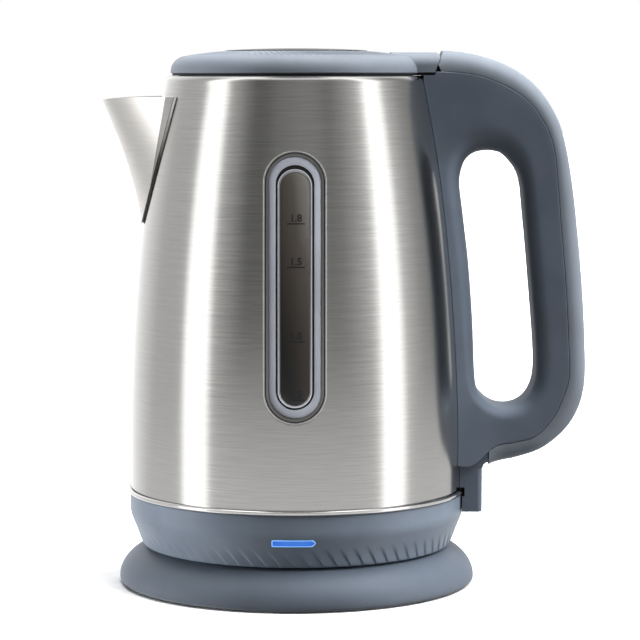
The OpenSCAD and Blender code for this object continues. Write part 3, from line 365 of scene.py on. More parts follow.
@dataclass(frozen=True)
class Lamp:
    """A lit light guide, strongest in its middle."""

    name: str
    core: Point
    rim: Point
    half_width: float
    strength: float

    def make(self) -> bpy.types.Material:
        """Builds the material.

        Returns:
            The material.
        """
        g = Graph(self.name)
        across = g.add("ShaderNodeSeparateXYZ", {}, {0: g.place()}, "X")
        fade = across.math("ABSOLUTE").smooth(self.half_width * MM, self.half_width * 0.3 * MM)
        grain = g.noise(g.place(), 900.0)
        colour = g.tint(fade * 0.7 + grain * 0.3, self.rim, self.core)
        return g.finish(
            Base_Color=(*self.core, 1.0), Roughness=0.25 + (grain - 0.5) * 0.1,
            Emission_Color=colour, Emission_Strength=self.strength,
        )


@dataclass(frozen=True)
class Screen:
    """A light screen round the object: tall bright and dark bands.

    The bands are fitted to the front view's reflections.
    """

    name: str
    bands: tuple[tuple[float, float], ...]
    lift: float = 0.74
    lift_low: float = 0.0
    lift_high: float = 0.17
    sky: float = 1.5
    sky_low: float = 0.42
    sky_high: float = 0.8
    strength: float = 3.0

    def make(self) -> bpy.types.Material:
        """Builds the material; each band is (degrees from the front, brightness).

        Returns:
            The material.
        """
        g = Graph(self.name)
        axes = g.node("ShaderNodeSeparateXYZ", {}, {0: g.place()})
        x, y, z = (Wire(g, socket) for socket in axes.outputs)
        turn = x.math("ARCTAN2", y * -1.0) * (0.5 / math.pi) + 0.5
        stops = [(a / 360 + 0.5, (v / self.strength,) * 3) for a, v in self.bands]
        ramp = g.add("ShaderNodeValToRGB", {"stops": stops}, {0: turn})
        near = z.smooth(self.lift_high, self.lift_low) * (self.lift / self.strength)
        sky = z.smooth(self.sky_low, self.sky_high) * (self.sky / self.strength)
        glow = ramp.math("MAXIMUM", near).math("MAXIMUM", sky)
        return g.finish(
            Base_Color=(0.0, 0.0, 0.0, 1.0), Specular_IOR_Level=0.0, Roughness=1.0,
            Emission_Color=glow, Emission_Strength=self.strength,
        )


class Finish(Enum):
    """Every finish on the kettle and in the studio.

    Slates and steels differ piece by piece, partly as painted light and shade fitted to the front
    view.
    """

    # Painted light and shade: the five slates are in part lit and shaded copies of one plastic.
    SLATE = Moulded("slate_plastic", (0.170, 0.196, 0.230), 0.50)
    SLATE_BASE = Moulded("slate_base_plastic", (0.082, 0.100, 0.127), 0.50)
    SLATE_DARK = Moulded("slate_dark_plastic", (0.097, 0.120, 0.156), 0.52)
    SLATE_SATIN = Moulded("slate_satin_plastic", (0.146, 0.179, 0.228), 0.40)
    SLATE_LID = Moulded("slate_lid_plastic", (0.136, 0.157, 0.186), 0.50)
    BLACK = Moulded("black_plastic", (0.02, 0.02, 0.021), 0.45)
    # Painted shade: a near-black sheet for gaps and grooves where only shade falls.
    SHADOW = Moulded("painted_gap_shade", (0.006, 0.006, 0.007), 0.7)
    BAND = Moulded("window_band", (0.52, 0.55, 0.62), 0.3, 900.0, 0.00001, 0.5)
    RUBBER = Moulded("black_rubber", (0.018, 0.018, 0.019), 0.75, 1500.0)
    SEAL = Moulded("grey_silicone", (0.22, 0.25, 0.29), 0.6, 1500.0)
    BROWN = Moulded("brown_gloss_plastic", (0.018, 0.010, 0.008), 0.12, 500.0, 0.000004, 0.6)
    INK = Moulded("printed_ink", (0.008, 0.008, 0.009), 0.5)
    BOARD = Moulded("green_board", (0.02, 0.14, 0.05), 0.45)
    FLOOR = Moulded("pale_floor", (0.85, 0.85, 0.85), 0.7, 60.0, 0.00002, 0.0, 0.0)
    WALL = Screen("pale_wall", ((-180.0, 1.0), (180.0, 1.0)), 0.0, sky=1.0)
    SCREEN = Screen("light_screen", (
        (-180, 0.45), (-168, 0.5), (-156, 1.4), (-122, 0.9), (-104, 0.6), (-77, 0.58), (-74, 2.0),
        (-57, 2.0), (-54, 0.52), (-46, 0.4), (-40, 0.28), (-33, 0.13), (-23, 0.13), (-14, 0.2),
        (5, 0.27), (15, 0.27), (24, 0.2), (32, 0.26), (40, 0.4), (48, 0.56), (53, 0.85), (56, 2.0),
        (70, 2.0), (74, 0.75), (90, 0.4), (104, 0.28), (116, 0.4), (130, 0.9), (150, 1.2),
        (170, 0.5), (180, 0.45)))
    STEEL = BrushedSteel("brushed_steel")
    # Painted light and shade: the spout's steel is a lighter copy, the flange's and the border's
    # darker copies of the body's steel.
    SPOUT = BrushedSteel("spout_steel", (0.78, 0.76, 0.73), 0.33, 90.0, 900.0, 0.2, 0.00002)
    FLANGE = BrushedSteel("shaded_flange_steel", (0.31, 0.306, 0.298), 0.42, 90.0, 900.0, 0.2, 0.00002)
    BORDER = PlainMetal("shaded_border_steel", (0.34, 0.335, 0.33), 0.45)
    INNER = BrushedSteel("inner_steel", (0.50, 0.49, 0.47), 0.36, 80.0, 1200.0, 0.2)
    CHROME = PlainMetal("polished_ring", (0.80, 0.79, 0.78), 0.14)
    BRIGHT = PlainMetal("bright_edge", (0.84, 0.86, 0.90), 0.16)
    SCREW = PlainMetal("plain_steel", (0.55, 0.55, 0.55), 0.34)
    ALUMINIUM = PlainMetal("pressed_aluminium", (0.72, 0.72, 0.72), 0.38)
    BRASS = PlainMetal("brass_contact", (0.72, 0.52, 0.22), 0.3)
    GAUGE = Gauge("gauge_strip", 86.0, 190.0)
    LIT = Lamp("lit_lens", (0.05, 0.22, 0.80), (0.012, 0.10, 0.70), 9.5, 0.52)
    LIT_RIM = Lamp("lit_rim", (0.22, 0.52, 0.95), (0.30, 0.60, 0.95), 9.5, 0.8)

    def material(self) -> bpy.types.Material:
        """The finish's material, built the first time it is asked for."""
        return bpy.data.materials.get(f"{self.value.name}_finish") or self.value.make()


# ------------------------------------------------------------------ mesh helpers


def steps(first: float, last: float, count: int) -> np.ndarray:
    """count + 1 even values from first to last."""
    return np.linspace(first, last, count + 1)


def rounded(corners: Sequence[Point], turns: int = 6) -> np.ndarray:
    """A path through corners that rounds each by its own radius.

    Args:
        corners: (across, up, radius) for each corner; the two ends stay sharp.
        turns: how many edges each rounded corner gets.

    Returns:
        The path's points, one row each.
    """
    path = [np.array(corners[0][:2], float)]
    for before, here, after in zip(corners, corners[1:], corners[2:]):
        p, q, r = (np.array(c[:2], float) for c in (before, here, after))
        u, w = p - q, r - q
        lu, lw = np.linalg.norm(u), np.linalg.norm(w)
        u, w = u / lu, w / lw
        half = math.acos(max(-1.0, min(1.0, float(u @ w)))) / 2
        reach = min(here[2] / math.tan(half), lu * 0.49, lw * 0.49) if here[2] else 0.0
        if reach < 1e-4 or half > math.pi / 2 - 0.01:
            path.append(q)
            continue
        a, b = q + u * reach, q + w * reach
        for t in steps(0.0, 1.0, turns):
            path.append((1 - t) ** 2 * a + 2 * t * (1 - t) * q + t**2 * b)
    path.append(np.array(corners[-1][:2], float))
    return np.array(path)


@dataclass
class Piece:
    """The vertices and faces of one piece, in millimetres."""

    name: str
    rows: list[np.ndarray] = field(default_factory=list)
    faces: list[tuple[int, ...]] = field(default_factory=list)
    count: int = 0

    def grid(self, points: np.ndarray, across: bool = False, along: bool = False) -> np.ndarray:
        """Adds a grid of quads.

        Args:
            points: an array (rows, columns, 3).
            across: whether the last column joins the first.
            along: whether the last row joins the first.

        Returns:
            The numbers of the grid's vertices, in the same layout.
        """
        n, m = points.shape[:2]
        ids = np.arange(self.count, self.count + n * m).reshape(n, m)
        self.rows.append(points.reshape(-1, 3))
        self.count += n * m
        self.join(ids, across, along)
        return ids

    def join(self, ids: np.ndarray, across: bool = False, along: bool = False) -> None:
        """Adds quads between vertices that are already there.

        Args:
            ids: the vertices' numbers in rows.
            across: whether the last column joins the first.
            along: whether the last row joins the first.
        """
        a = np.concatenate([ids, ids[:1]]) if along else ids
        a = np.concatenate([a, a[:, :1]], axis=1) if across else a
        quads = np.stack([a[:-1, :-1], a[:-1, 1:], a[1:, 1:], a[1:, :-1]], axis=-1).reshape(-1, 4)
        self.faces.extend(map(tuple, quads.tolist()))

    def cap(self, ids: Iterable[int]) -> None:
        """Closes a loop with one face."""
        self.faces.append(tuple(int(i) for i in ids))

    def revolve(self, profile: np.ndarray, count: int = 192, closed: bool = False) -> None:
        """Turns a profile of (radius, height) rows about the vertical axis.

        Args:
            profile: rows of (radius, height).
            count: how many columns go round.
            closed: whether the profile's ends are joined.
        """
        angles = np.linspace(0, 2 * math.pi, count, endpoint=False)
        r, z = profile[:, 0][:, None], profile[:, 1][:, None]
        points = np.stack([r * np.sin(angles), -r * np.cos(angles), z + 0 * angles], axis=-1)
        self.grid(points, across=True, along=closed)

    def box(self, low: Point, high: Point) -> None:
        """Adds a plain box, as a cutter or a hidden inner part.

        Args:
            low: its lowest corner.
            high: its highest corner.
        """
        xs, ys, zs = zip(low, high)
        loop = [(xs[0], ys[0]), (xs[1], ys[0]), (xs[1], ys[1]), (xs[0], ys[1])]
        ids = self.grid(np.array([[(x, y, z) for x, y in loop] for z in zs]), across=True)
        self.cap(ids[0][::-1])
        self.cap(ids[1])

    def prism(self, outline: Sequence[tuple[float, float]], low: float, high: float,
              lay: Callable[[float, float, float], Point]) -> None:
        """Extrudes an outline from low to high; lay places (across, up, depth) in space.

        Args:
            outline: the (across, up) points.
            low: the depth where it starts.
            high: the depth where it ends.
            lay: places (across, up, depth) in space.
        """
        rings = np.array([[lay(a, b, d) for a, b in outline] for d in (low, high)])
        ids = self.grid(rings, across=True)
        self.cap(ids[0][::-1])
        self.cap(ids[1])

    def build(self, finish: Finish, sharp: float = 40.0,
              weld: float = 0.004) -> bpy.types.Object:
        """Makes the Blender object.

        Args:
            finish: the finish of all its faces.
            sharp: faces that meet at more than this angle, in degrees, keep a crisp edge.
            weld: points closer than this, in millimetres, become one.

        Returns:
            The object, in metres, at the origin.
        """
        mesh = bpy.data.meshes.new(self.name)
        mesh.from_pydata((np.concatenate(self.rows) * MM).tolist(), [], self.faces)
        mesh.materials.append(finish.material())
        work = bmesh.new()
        work.from_mesh(mesh)
        bmesh.ops.remove_doubles(work, verts=work.verts, dist=weld * MM)
        bmesh.ops.dissolve_degenerate(work, edges=work.edges, dist=weld * MM * 0.5)
        bmesh.ops.recalc_face_normals(work, faces=work.faces)
        work.to_mesh(mesh)
        work.free()
        shade(mesh, sharp)
        thing = bpy.data.objects.new(self.name, mesh)
        bpy.context.scene.collection.objects.link(thing)
        return thing


def shade(mesh: bpy.types.Mesh, sharp: float) -> None:
    """Shades a mesh smooth, apart from edges sharper than an angle in degrees.

    Args:
        mesh: the mesh.
        sharp: the angle, in degrees.
    """
    mesh.polygons.foreach_set("use_smooth", [True] * len(mesh.polygons))
    mesh.set_sharp_from_angle(angle=math.radians(sharp))
    mesh.update()


def carve(target: bpy.types.Object, tool: bpy.types.Object, how: str = "DIFFERENCE",
          sharp: float = 40.0) -> None:
    """Cuts one solid by another, or joins them, and removes the tool.

    Args:
        target: the solid that is changed.
        tool: the solid that cuts or joins it.
        how: the boolean's operation.
        sharp: faces that meet at more than this angle keep a crisp edge.
    """
    change = target.modifiers.new("carve", "BOOLEAN")
    change.operation, change.solver, change.object = how, "EXACT", tool
    bpy.context.view_layer.update()
    solid = target.evaluated_get(bpy.context.evaluated_depsgraph_get())
    cut = bpy.data.meshes.new_from_object(solid)
    target.modifiers.clear()
    target.data = cut
    bpy.data.objects.remove(tool)
    shade(cut, sharp)


def dress(nodes: Iterable[str], finish: Finish, frame: dict) -> None:
    """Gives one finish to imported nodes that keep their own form.

    Args:
        nodes: the nodes' names.
        finish: their finish.
    """
    for name in nodes:
        thing = frame["nodes"][name]
        thing.data.materials.clear()
        thing.data.materials.append(finish.material())
        LOG.info("%s: %s", name, finish.name)


def mount(thing: bpy.types.Object, body: str, slot: str, *replaced: str) -> None:
    """Sets a new piece on its body and hides the nodes that it stands for.

    Args:
        thing: the piece.
        body: the body that it rides on.
        slot: the record's material slot; not used.
        replaced: the nodes that it stands for.
    """
    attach(thing, body)
    if replaced:
        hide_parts(*replaced)
    LOG.info("%s rides on %s: %d faces", thing.name, body, len(thing.data.polygons))


# ------------------------------------------------------------------ shared forms


@dataclass(frozen=True)
class Form:
    """Sizes and outlines that several sub-assemblies share, in millimetres."""

    low: float = 43.6
    high: float = 227.4
    low_r: float = 74.8
    top_r: float = 58.0
    curve: float = 2.3
    wall: float = 0.8
    shoulder: float = 3.0
    mouth_r: float = 52.5
    skirt_low: float = 17.6
    skirt_high: float = 41.0
    skirt_r: float = 75.2
    bend_z: float = 34.5
    bend_r: float = 12.0
    lean: float = math.radians(21.3)
    ring_high: float = 43.2
    ring_r: float = 76.3
    lid_high: float = 237.7
    pin_x: float = 60.9
    pin_z: float = 235.2
    knuckle: float = 2.5
    tail_lean: float = math.radians(19.6)
    arm: float = 17.0

    def body(self, z: np.ndarray | float) -> np.ndarray:
        """Radius of the steel's side at height z."""
        share = np.maximum(np.asarray(z, float) - self.low, 0.0) / (self.high - self.low)
        return self.low_r - (self.low_r - self.top_r) * share**self.curve

    def skirt(self, z: np.ndarray | float) -> np.ndarray:
        """Radius of the skirt's side at height z: upright, a bend, then a straight lean.

        Args:
            z: one height or an array of them.

        Returns:
            The radius at each height.
        """
        drop = np.maximum(self.bend_z - np.asarray(z, float), 0.0)
        turn = self.bend_r * math.sin(self.lean)
        bend = self.bend_r - np.sqrt(self.bend_r**2 - np.minimum(drop, turn) ** 2)
        return self.skirt_r - bend - np.maximum(drop - turn, 0.0) * math.tan(self.lean)

    def slant(self, z: float, behind: float) -> float:
        """X of the slanted joint plane at height z, at a distance behind the hinge pin."""
        rise = (z - self.pin_z) * math.sin(self.tail_lean)
        return self.pin_x + (behind + rise) / math.cos(self.tail_lean)

    def wrap(self, points: np.ndarray, offset: np.ndarray | float) -> np.ndarray:
        """Lays (x, z) points on the front of the steel's side."""
        x, z = points[..., 0], points[..., 1]
        return np.stack([x, -np.sqrt((self.body(z) + offset) ** 2 - x**2), z], axis=-1)


FORM = Form()


def upright(across: float, up: float, depth: float) -> Point:
    """Lays an outline of (x, z) so that it is extruded along Y."""
    return (across, depth, up)


def flat(across: float, up: float, depth: float) -> Point:
    """Lays an outline of (x, y) so that it is extruded upwards."""
    return (across, up, depth)


def sideways(across: float, up: float, depth: float) -> Point:
    """Lays an outline of (y, z) so that it is extruded along X."""
    return (depth, across, up)


def plate(x0: float, x1: float, half: float, radius: float,
          turns: int = 8) -> list[tuple[float, float]]:
    """Outline of an oblong with round corners, from x0 to x1 and half a width each side.

    Args:
        x0: its lowest x.
        x1: its highest x.
        half: half its width.
        radius: its corners' radius.
        turns: how many edges each corner gets.

    Returns:
        The outline's points.
    """
    path = []
    for cx, cy, start in ((x1 - radius, half - radius, 0), (x0 + radius, half - radius, 90),
                          (x0 + radius, radius - half, 180), (x1 - radius, radius - half, 270)):
        for a in np.radians(steps(start, start + 90, turns)):
            path.append((cx + radius * math.cos(a), cy + radius * math.sin(a)))
    return path


# Shares of one pleat that its long slope and its steep return take
PLEAT_SLOPE = 0.84
PLEAT_RETURN = 0.16


def pleat(phase: np.ndarray) -> np.ndarray:
    """Depth, from 0 to 1, of saw-tooth pleats: a long slope and a steep return."""
    p = phase - np.floor(phase)
    return np.where(p < PLEAT_SLOPE, p / PLEAT_SLOPE, (1.0 - p) / PLEAT_RETURN)


# ------------------------------------------------------------------ power base


@dataclass
class PowerBase:
    """The base that the kettle stands on, with its connector and feet."""

    radius: float = 80.0
    run: float = 23.2
    rim: float = 2.7
    rise: float = 15.9
    deck: float = 17.3
    hub_r: float = 29.0
    hub: float = 19.5
    wall: float = 2.2

    def dome(self, inset: float, first: float, last: float, count: int) -> list[Point]:
        """Points on the cover's quarter ellipse, between two angles in degrees.

        Args:
            inset: how far inside the outer face.
            first: the angle of the first point.
            last: the angle of the last point.
            count: how many edges lie between them.

        Returns:
            Corners for rounded(), each with radius 0.
        """
        return [(self.radius - self.run + (self.run - inset) * math.cos(a),
                 self.rim + (self.rise - inset) * math.sin(a), 0.0)
                for a in np.radians(steps(first, last, count))]

    def cover(self) -> bpy.types.Object:
        """Builds the domed cover, with its lip and the hole for the lead's bush.

        Returns:
            The object.
        """
        top = math.degrees(math.asin((self.deck - self.rim) / self.rise))
        under = math.degrees(
            math.asin((self.deck - self.wall - self.rim) / (self.rise - self.wall)))
        hub, wall = self.hub_r, self.wall
        corners = [
            (self.radius - wall, 0.8, 0.0), (self.radius - 1.2, 0.8, 0.4),
            (self.radius - 0.1, 1.6, 0.8), *self.dome(0.0, 0.0, top - 1.5, 40),
            (self.radius - self.run * (1 - math.cos(math.radians(top))) - 0.2, self.deck, 1.5),
            (hub + 2.6, self.deck, 1.2), (hub, self.hub, 1.0), (hub - 6.7, self.hub, 0.3),
            (hub - 6.7, self.hub - wall, 0.0), (hub - 1.4, self.hub - wall, 0.0),
            (hub + 1.1, self.deck - wall, 0.0), *self.dome(wall, under, 0.0, 20),
        ]
        piece = Piece("base_top")
        piece.revolve(rounded(corners, 5), 288, closed=True)
        thing = piece.build(Finish.SLATE_BASE, sharp=50.0)
        bore = Piece("bush_bore")
        ring = [(4.55 * math.cos(a), 8.7 + 4.55 * math.sin(a))
                for a in np.linspace(0, 2 * math.pi, 48, endpoint=False)]
        bore.prism(ring, 60.0, 100.0, upright)
        carve(thing, bore.build(Finish.SLATE_BASE), sharp=50.0)
        return thing

    def make(self, frame: dict) -> None:
        """Builds and dresses the whole base.
        """
        mount(self.cover(), "power_base", "slate_plastic", "base_cover")
        dress(("base_plate", "base_connector", "connector_socket"), Finish.BLACK, frame)
        dress(("base_feet", "lead_bush"), Finish.RUBBER, frame)
        dress(("base_contacts", "socket_contacts"), Finish.BRASS, frame)
        dress(("base_screws",), Finish.SCREW, frame)


# ------------------------------------------------------------------ skirt and lamp


@dataclass
class Skirt:
    """The plastic skirt under the steel, its trim ring and the lit lens."""

    flutes: int = 72
    depth: float = 0.42
    fade_high: float = 27.5
    fade_low: float = 21.0
    twist: float = 0.75
    lens_w: float = 19.0
    lens_h: float = 3.0
    lens_x: float = -0.5
    lens_z: float = 29.1

    def shell(self) -> bpy.types.Object:
        """Builds the skirt with slanted pleats that fade out upwards.

        Returns:
            The object.
        """
        form = FORM
        z = np.concatenate([steps(18.5, 28.0, 34), steps(28.4, form.skirt_high - 0.7, 20)])
        lip = [(form.skirt_r - 0.12, form.skirt_high - 0.3), (form.skirt_r - 0.45, form.skirt_high),
               (form.skirt_r - 2.4, form.skirt_high), (form.skirt_r - 2.4, 35.0),
               (float(form.skirt(26.0)) - 2.4, 26.0), (float(form.skirt(19.8)) - 2.6, 19.8),
               (60.4, 19.8), (60.4, form.skirt_low),
               (float(form.skirt(form.skirt_low)) - 1.2, 17.6),
               (float(form.skirt(18.0)) - 0.35, 17.9)]
        rows = [(float(form.skirt(h)), float(h), 1.0) for h in z] + [(r, h, 0.0) for r, h in lip]
        stops = np.array([0.0, 0.2, 0.4, 0.58, 0.72, 0.84, 0.92])
        phase = (np.arange(self.flutes)[:, None] + stops).reshape(-1)
        points = []
        for r, h, live in rows:
            share = (self.fade_high - h) / (self.fade_high - self.fade_low)
            fade = live * float(np.clip(share, 0, 1))
            fade = fade * fade * (3 - 2 * fade)
            slide = self.twist * (self.fade_high - min(h, self.fade_high)) / form.skirt_r
            angle = phase / self.flutes * 2 * math.pi + slide
            radius = r - self.depth * fade * pleat(phase)
            points.append(np.stack([radius * np.sin(angle), -radius * np.cos(angle),
                                    np.full_like(angle, h)], axis=-1))
        piece = Piece("fluted_skirt")
        piece.grid(np.array(points), across=True, along=True)
        return piece.build(Finish.SLATE_SATIN, sharp=28.0)

    def ring(self) -> bpy.types.Object:
        """Builds the bright ring between the skirt and the steel.

        Returns:
            The object.
        """
        r, low, high = FORM.ring_r, FORM.skirt_high + 0.3, FORM.ring_high
        corners = [(71.7, low, 0), (r - 0.35, low, 0.3), (r, low + 0.5, 0.4), (r, high - 0.55, 0.5),
                   (r - 0.6, high, 0.3), (73.7, high, 0), (73.7, high + 4.4, 0),
                   (71.7, high + 4.4, 0), (71.7, low, 0)]
        piece = Piece("bright_ring")
        piece.revolve(rounded(corners, 5)[:-1], 288, closed=True)
        return piece.build(Finish.CHROME, sharp=50.0)

    def lens(self) -> None:
        """Builds the lens: a lit core in a paler rim, blunt on the left, pointed on the right."""
        half_w, half_h = self.lens_w / 2, self.lens_h / 2
        outline = rounded([(-half_w + 1, -half_h, 0), (half_w - 1.6, -half_h, 1.0),
                           (half_w, 0.2, 0.7), (half_w - 1.2, half_h, 1.0),
                           (-half_w, half_h, 0.7),
                           (-half_w, -half_h, 0.7), (-half_w + 1, -half_h, 0)], 6)
        way = np.concatenate([[0.0], np.cumsum(np.linalg.norm(np.diff(outline, axis=0), axis=1))])
        even = steps(0.0, way[-1], 160)[:-1]
        outline = np.stack([np.interp(even, way, outline[:, k]) for k in (0, 1)], axis=-1)

        def laid(scale_x: float, scale_z: float, out: float) -> np.ndarray:
            """Lays a scaled copy of the outline on the skirt's side.

            Args:
                scale_x: its scale across.
                scale_z: its scale upwards.
                out: how far it stands out.

            Returns:
                Rows of x, y and z.
            """
            x = outline[:, 0] * scale_x + self.lens_x
            z = outline[:, 1] * scale_z + self.lens_z
            r = FORM.skirt(z) + out
            return np.stack([x, -np.sqrt(r**2 - x**2), z], axis=-1)

        rim = Piece("lens_rim")
        rim.grid(np.array([laid(1, 1, -1.0), laid(1, 1, 0.12), laid(0.985, 0.92, 0.2),
                           laid(0.965, 0.80, 0.16), laid(0.96, 0.78, -1.0)]), across=True)
        mount(rim.build(Finish.LIT_RIM), "kettle", "lit_lens", "indicator_lens")
        core = Piece("lens_core")
        rings = [laid(s, s * 0.78 / 0.96, o) for s, o in
                 ((0.96, -1.0), (0.96, 0.02), (0.9, 0.09), (0.6, 0.12), (0.25, 0.13), (0.01, 0.13))]
        ids = core.grid(np.array(rings), across=True)
        core.cap(ids[-1])
        mount(core.build(Finish.LIT), "kettle", "lit_lens")

    def make(self, frame: dict) -> None:
        """Builds and dresses the skirt.
        """
        mount(self.shell(), "kettle", "slate_plastic", "skirt")
        mount(self.ring(), "kettle", "ring_chrome", "trim_ring")
        self.lens()
        dress(("bottom_cover", "control_unit"), Finish.BLACK, frame)
        dress(("bottom_screws", "control_studs"), Finish.SCREW, frame)
        dress(("indicator_board",), Finish.BOARD, frame)
        dress(("terminal_tabs", "bimetal_discs"), Finish.BRASS, frame)


# ------------------------------------------------------------------ steel body


@dataclass
class SteelBody:
    """The drawn steel body, with the lip that is pressed round its gauge window.

    The steel runs on behind the gauge, and has no slot for the latch and no screw holes.
    """

    window_z: float = 138.0
    straight: float = 44.3
    spout_low: float = 164.8
    spout_high: float = 218.2
    # Distance from the window's middle line, and how far the steel stands out there
    press: tuple[tuple[float, float], ...] = (
        (11.0, -1.9), (11.5, -1.5), (12.2, -1.0), (12.8, -0.3), (13.3, 0.0))

    def pressed(self, x: np.ndarray, z: np.ndarray) -> np.ndarray:
        """How far the steel stands out at a point on its front.

        Args:
            x: distances from the window's middle line.
            z: heights.

        Returns:
            The distance at each point; below 0 is pressed in.
        """
        along = np.maximum(np.abs(z - self.window_z) - self.straight, 0.0)
        away = np.sqrt(x**2 + along**2)
        return np.interp(away, *zip(*self.press))

    def shell(self) -> bpy.types.Object:
        """Builds the body as one closed sheet of steel, cut through only behind the spout.

        Returns:
            The object.
        """
        form = FORM
        side = np.concatenate([steps(form.low, 76.0, 18)[:-1], steps(76.0, 200.0, 200),
                               steps(200.0, form.high - form.shoulder, 14)[1:]])
        near = steps(-17.0, 17.0, 84)
        far = steps(0.0, 1.0, 150)[1:-1]

        def ring(radius: float, z: float, live: float) -> np.ndarray:
            """One level ring whose front columns stay upright round the window.

            Args:
                radius: its radius.
                z: its height.
                live: 1 where the window's lip is pressed in, else 0.

            Returns:
                The ring's points.
            """
            angle = np.arcsin(near / radius)
            rest = angle[-1] + (2 * math.pi + angle[0] - angle[-1]) * far
            angle = np.concatenate([angle, rest])
            push = np.zeros_like(angle)
            push[: len(near)] = self.pressed(near, np.full_like(near, z)) * live
            r = radius + push
            return np.stack(
                [r * np.sin(angle), -r * np.cos(angle), np.full_like(angle, z)], axis=-1)

        top = float(form.body(side[-1]))
        bend = [(top - form.shoulder * (1 - math.cos(a)), side[-1] + form.shoulder * math.sin(a))
                for a in np.radians(steps(8, 90, 8))]
        rows = [(float(form.body(z)), z, 1.0) for z in side] + [(r, z, 0.0) for r, z in bend]
        rows += [(form.mouth_r, form.high, 0.0), (form.mouth_r, form.high - form.wall, 0.0)]
        rows += [(r - form.wall * 0.9, z - form.wall * 0.5, 0.0) for r, z in reversed(bend)]
        rows += [(float(form.body(z)) - form.wall, z, 1.0) for z in side[::-1]]
        piece = Piece("steel_shell")
        piece.grid(np.array([ring(*row) for row in rows]), across=True, along=True)
        thing = piece.build(Finish.STEEL, sharp=60.0, weld=0.002)
        z = steps(self.spout_low + 9, self.spout_high - 5, 16)
        half = SPOUT.seam_y(z) - 4
        cut = Piece("pour_cut")
        cut.prism([*zip(half, z), *zip(-half[::-1], z[::-1])], -90.0, -20.0, sideways)
        carve(thing, cut.build(Finish.STEEL), sharp=60.0)
        return thing

    def make(self, frame: dict) -> None:
        """Builds and dresses the body and what is fixed inside it.
        """
        mount(self.shell(), "kettle", "steel_brushed", "body_shell")
        dress(("top_collar", "window_clamp"), Finish.SLATE_DARK, frame)
        dress(("window_seal",), Finish.SEAL, frame)
        dress(("spout_filter", "heating_plate"), Finish.INNER, frame)
        dress(("heat_spreader",), Finish.ALUMINIUM, frame)
        dress(("heater_element",), Finish.SCREW, frame)
        dress(("steam_tube",), Finish.SEAL, frame)


@dataclass
class Spout:
    """The pouring spout, folded from one sheet and joined along a slanted seam."""

    low: float = 160.8
    high: float = 218.2
    reach: float = 87.3
    sheet: float = 0.8
    flange: float = 3.9
    flange_foot: float = 0.1

    def seam_x(self, z: np.ndarray | float) -> np.ndarray:
        """X of the slanted seam plane at height z."""
        top, foot = 7 - FORM.body(self.high), -(FORM.body(self.low) + 0.2)
        return foot + (top - foot) * (np.asarray(z, float) - self.low) / (self.high - self.low)

    def seam_y(self, z: np.ndarray | float) -> np.ndarray:
        """Half width of the spout where it meets the body at height z."""
        return np.sqrt(np.maximum((FORM.body(z) + 0.9) ** 2 - self.seam_x(z) ** 2, 0.5))

    def nose(self, z: np.ndarray | float) -> np.ndarray:
        """X of the spout's front line at height z.

        Args:
            z: heights.

        Returns:
            The x at each height.
        """
        foot = -(FORM.body(self.low) + 0.9)
        share = np.maximum(np.asarray(z, float) - self.low, 0.0) / (self.high - self.low)
        return foot - (self.reach + foot) * share**1.44

    def point(self, s: float, t: np.ndarray, inset: float) -> np.ndarray:
        """Points on the sheet.

        Args:
            s: the share of the height, from the foot to the lip.
            t: shares across, from one side of the seam to the other.
            inset: how far inside the outer face.

        Returns:
            One row of points.
        """
        lip = self.high - 2.0 * (1 - np.abs(t)) ** 2
        z = self.low + 1 + (lip - self.low - 1) * s
        nose, side = self.nose(z) + inset * 1.1, self.seam_y(z) - inset
        return np.stack([nose + (self.seam_x(z) - nose) * np.abs(t) ** 1.8, side * t, z], axis=-1)

    def cone(self) -> bpy.types.Object:
        """Builds the folded sheet.

        Returns:
            The object.
        """
        u = steps(-1.0, 1.0, 64)
        t = u * (1.25 - 0.25 * u * u)
        rows = [np.concatenate([self.point(s, t, 0.0), self.point(s, t[::-1], self.sheet)])
                for s in steps(0.0, 1.0, 34)]
        piece = Piece("spout_cone")
        ids = piece.grid(np.array(rows), across=True)
        for ring in (ids[0], ids[-1]):
            piece.join(np.stack([ring[: len(t)], ring[len(t):][::-1]]))
        return piece.build(Finish.SPOUT, sharp=50.0)

    def edging(self) -> None:
        """Builds the turned flange along each side of the seam, and the dark line behind it."""
        z = steps(self.low + 1.0, self.high - 0.15, 40)
        share = (z - self.low) / (self.high - self.low)
        for name, side in (("near", -1.0), ("far", 1.0)):
            width = self.flange_foot + self.flange * np.clip((share - 0.3) / 0.7, 0.0, 1.0)
            seam, depth = self.seam_x(z), self.seam_x(z) - self.nose(z)
            back = self.seam_y(z)
            front = back * np.maximum(1 - width / depth, 0.05) ** (1 / 1.8)
            strip = Piece(f"spout_flange_{name}")
            rows = [(seam, back - 0.5), (seam, back + 0.12),
                    (seam - width * 0.5, (back + front) / 2 + 0.2),
                    (seam - width, front + 0.08), (seam - width, front - 0.5)]
            strip.grid(np.array([np.stack([x, side * y, z], axis=-1) for x, y in rows]))
            # Painted shade: the flange wears a darker copy of the spout's steel.
            mount(strip.build(Finish.FLANGE), "kettle", "steel_plain")
            # Painted shade: a near-black line in the gap behind the flange.
            line = Piece(f"spout_line_{name}")
            rows = [(seam - 0.12, back + 0.02), (seam - 0.12, back + 0.14),
                    (seam + 0.1, back + 0.14), (seam + 0.1, back + 0.06)]
            line.grid(np.array([np.stack([x, side * y, z + 0.1], axis=-1) for x, y in rows]))
            mount(line.build(Finish.SHADOW), "kettle", "black_plastic")

    def make(self, frame: dict) -> None:
        """Builds the spout."""
        mount(self.cone(), "kettle", "steel_plain", "spout")
        self.edging()


SPOUT = Spout()


# ------------------------------------------------------------------ gauge window


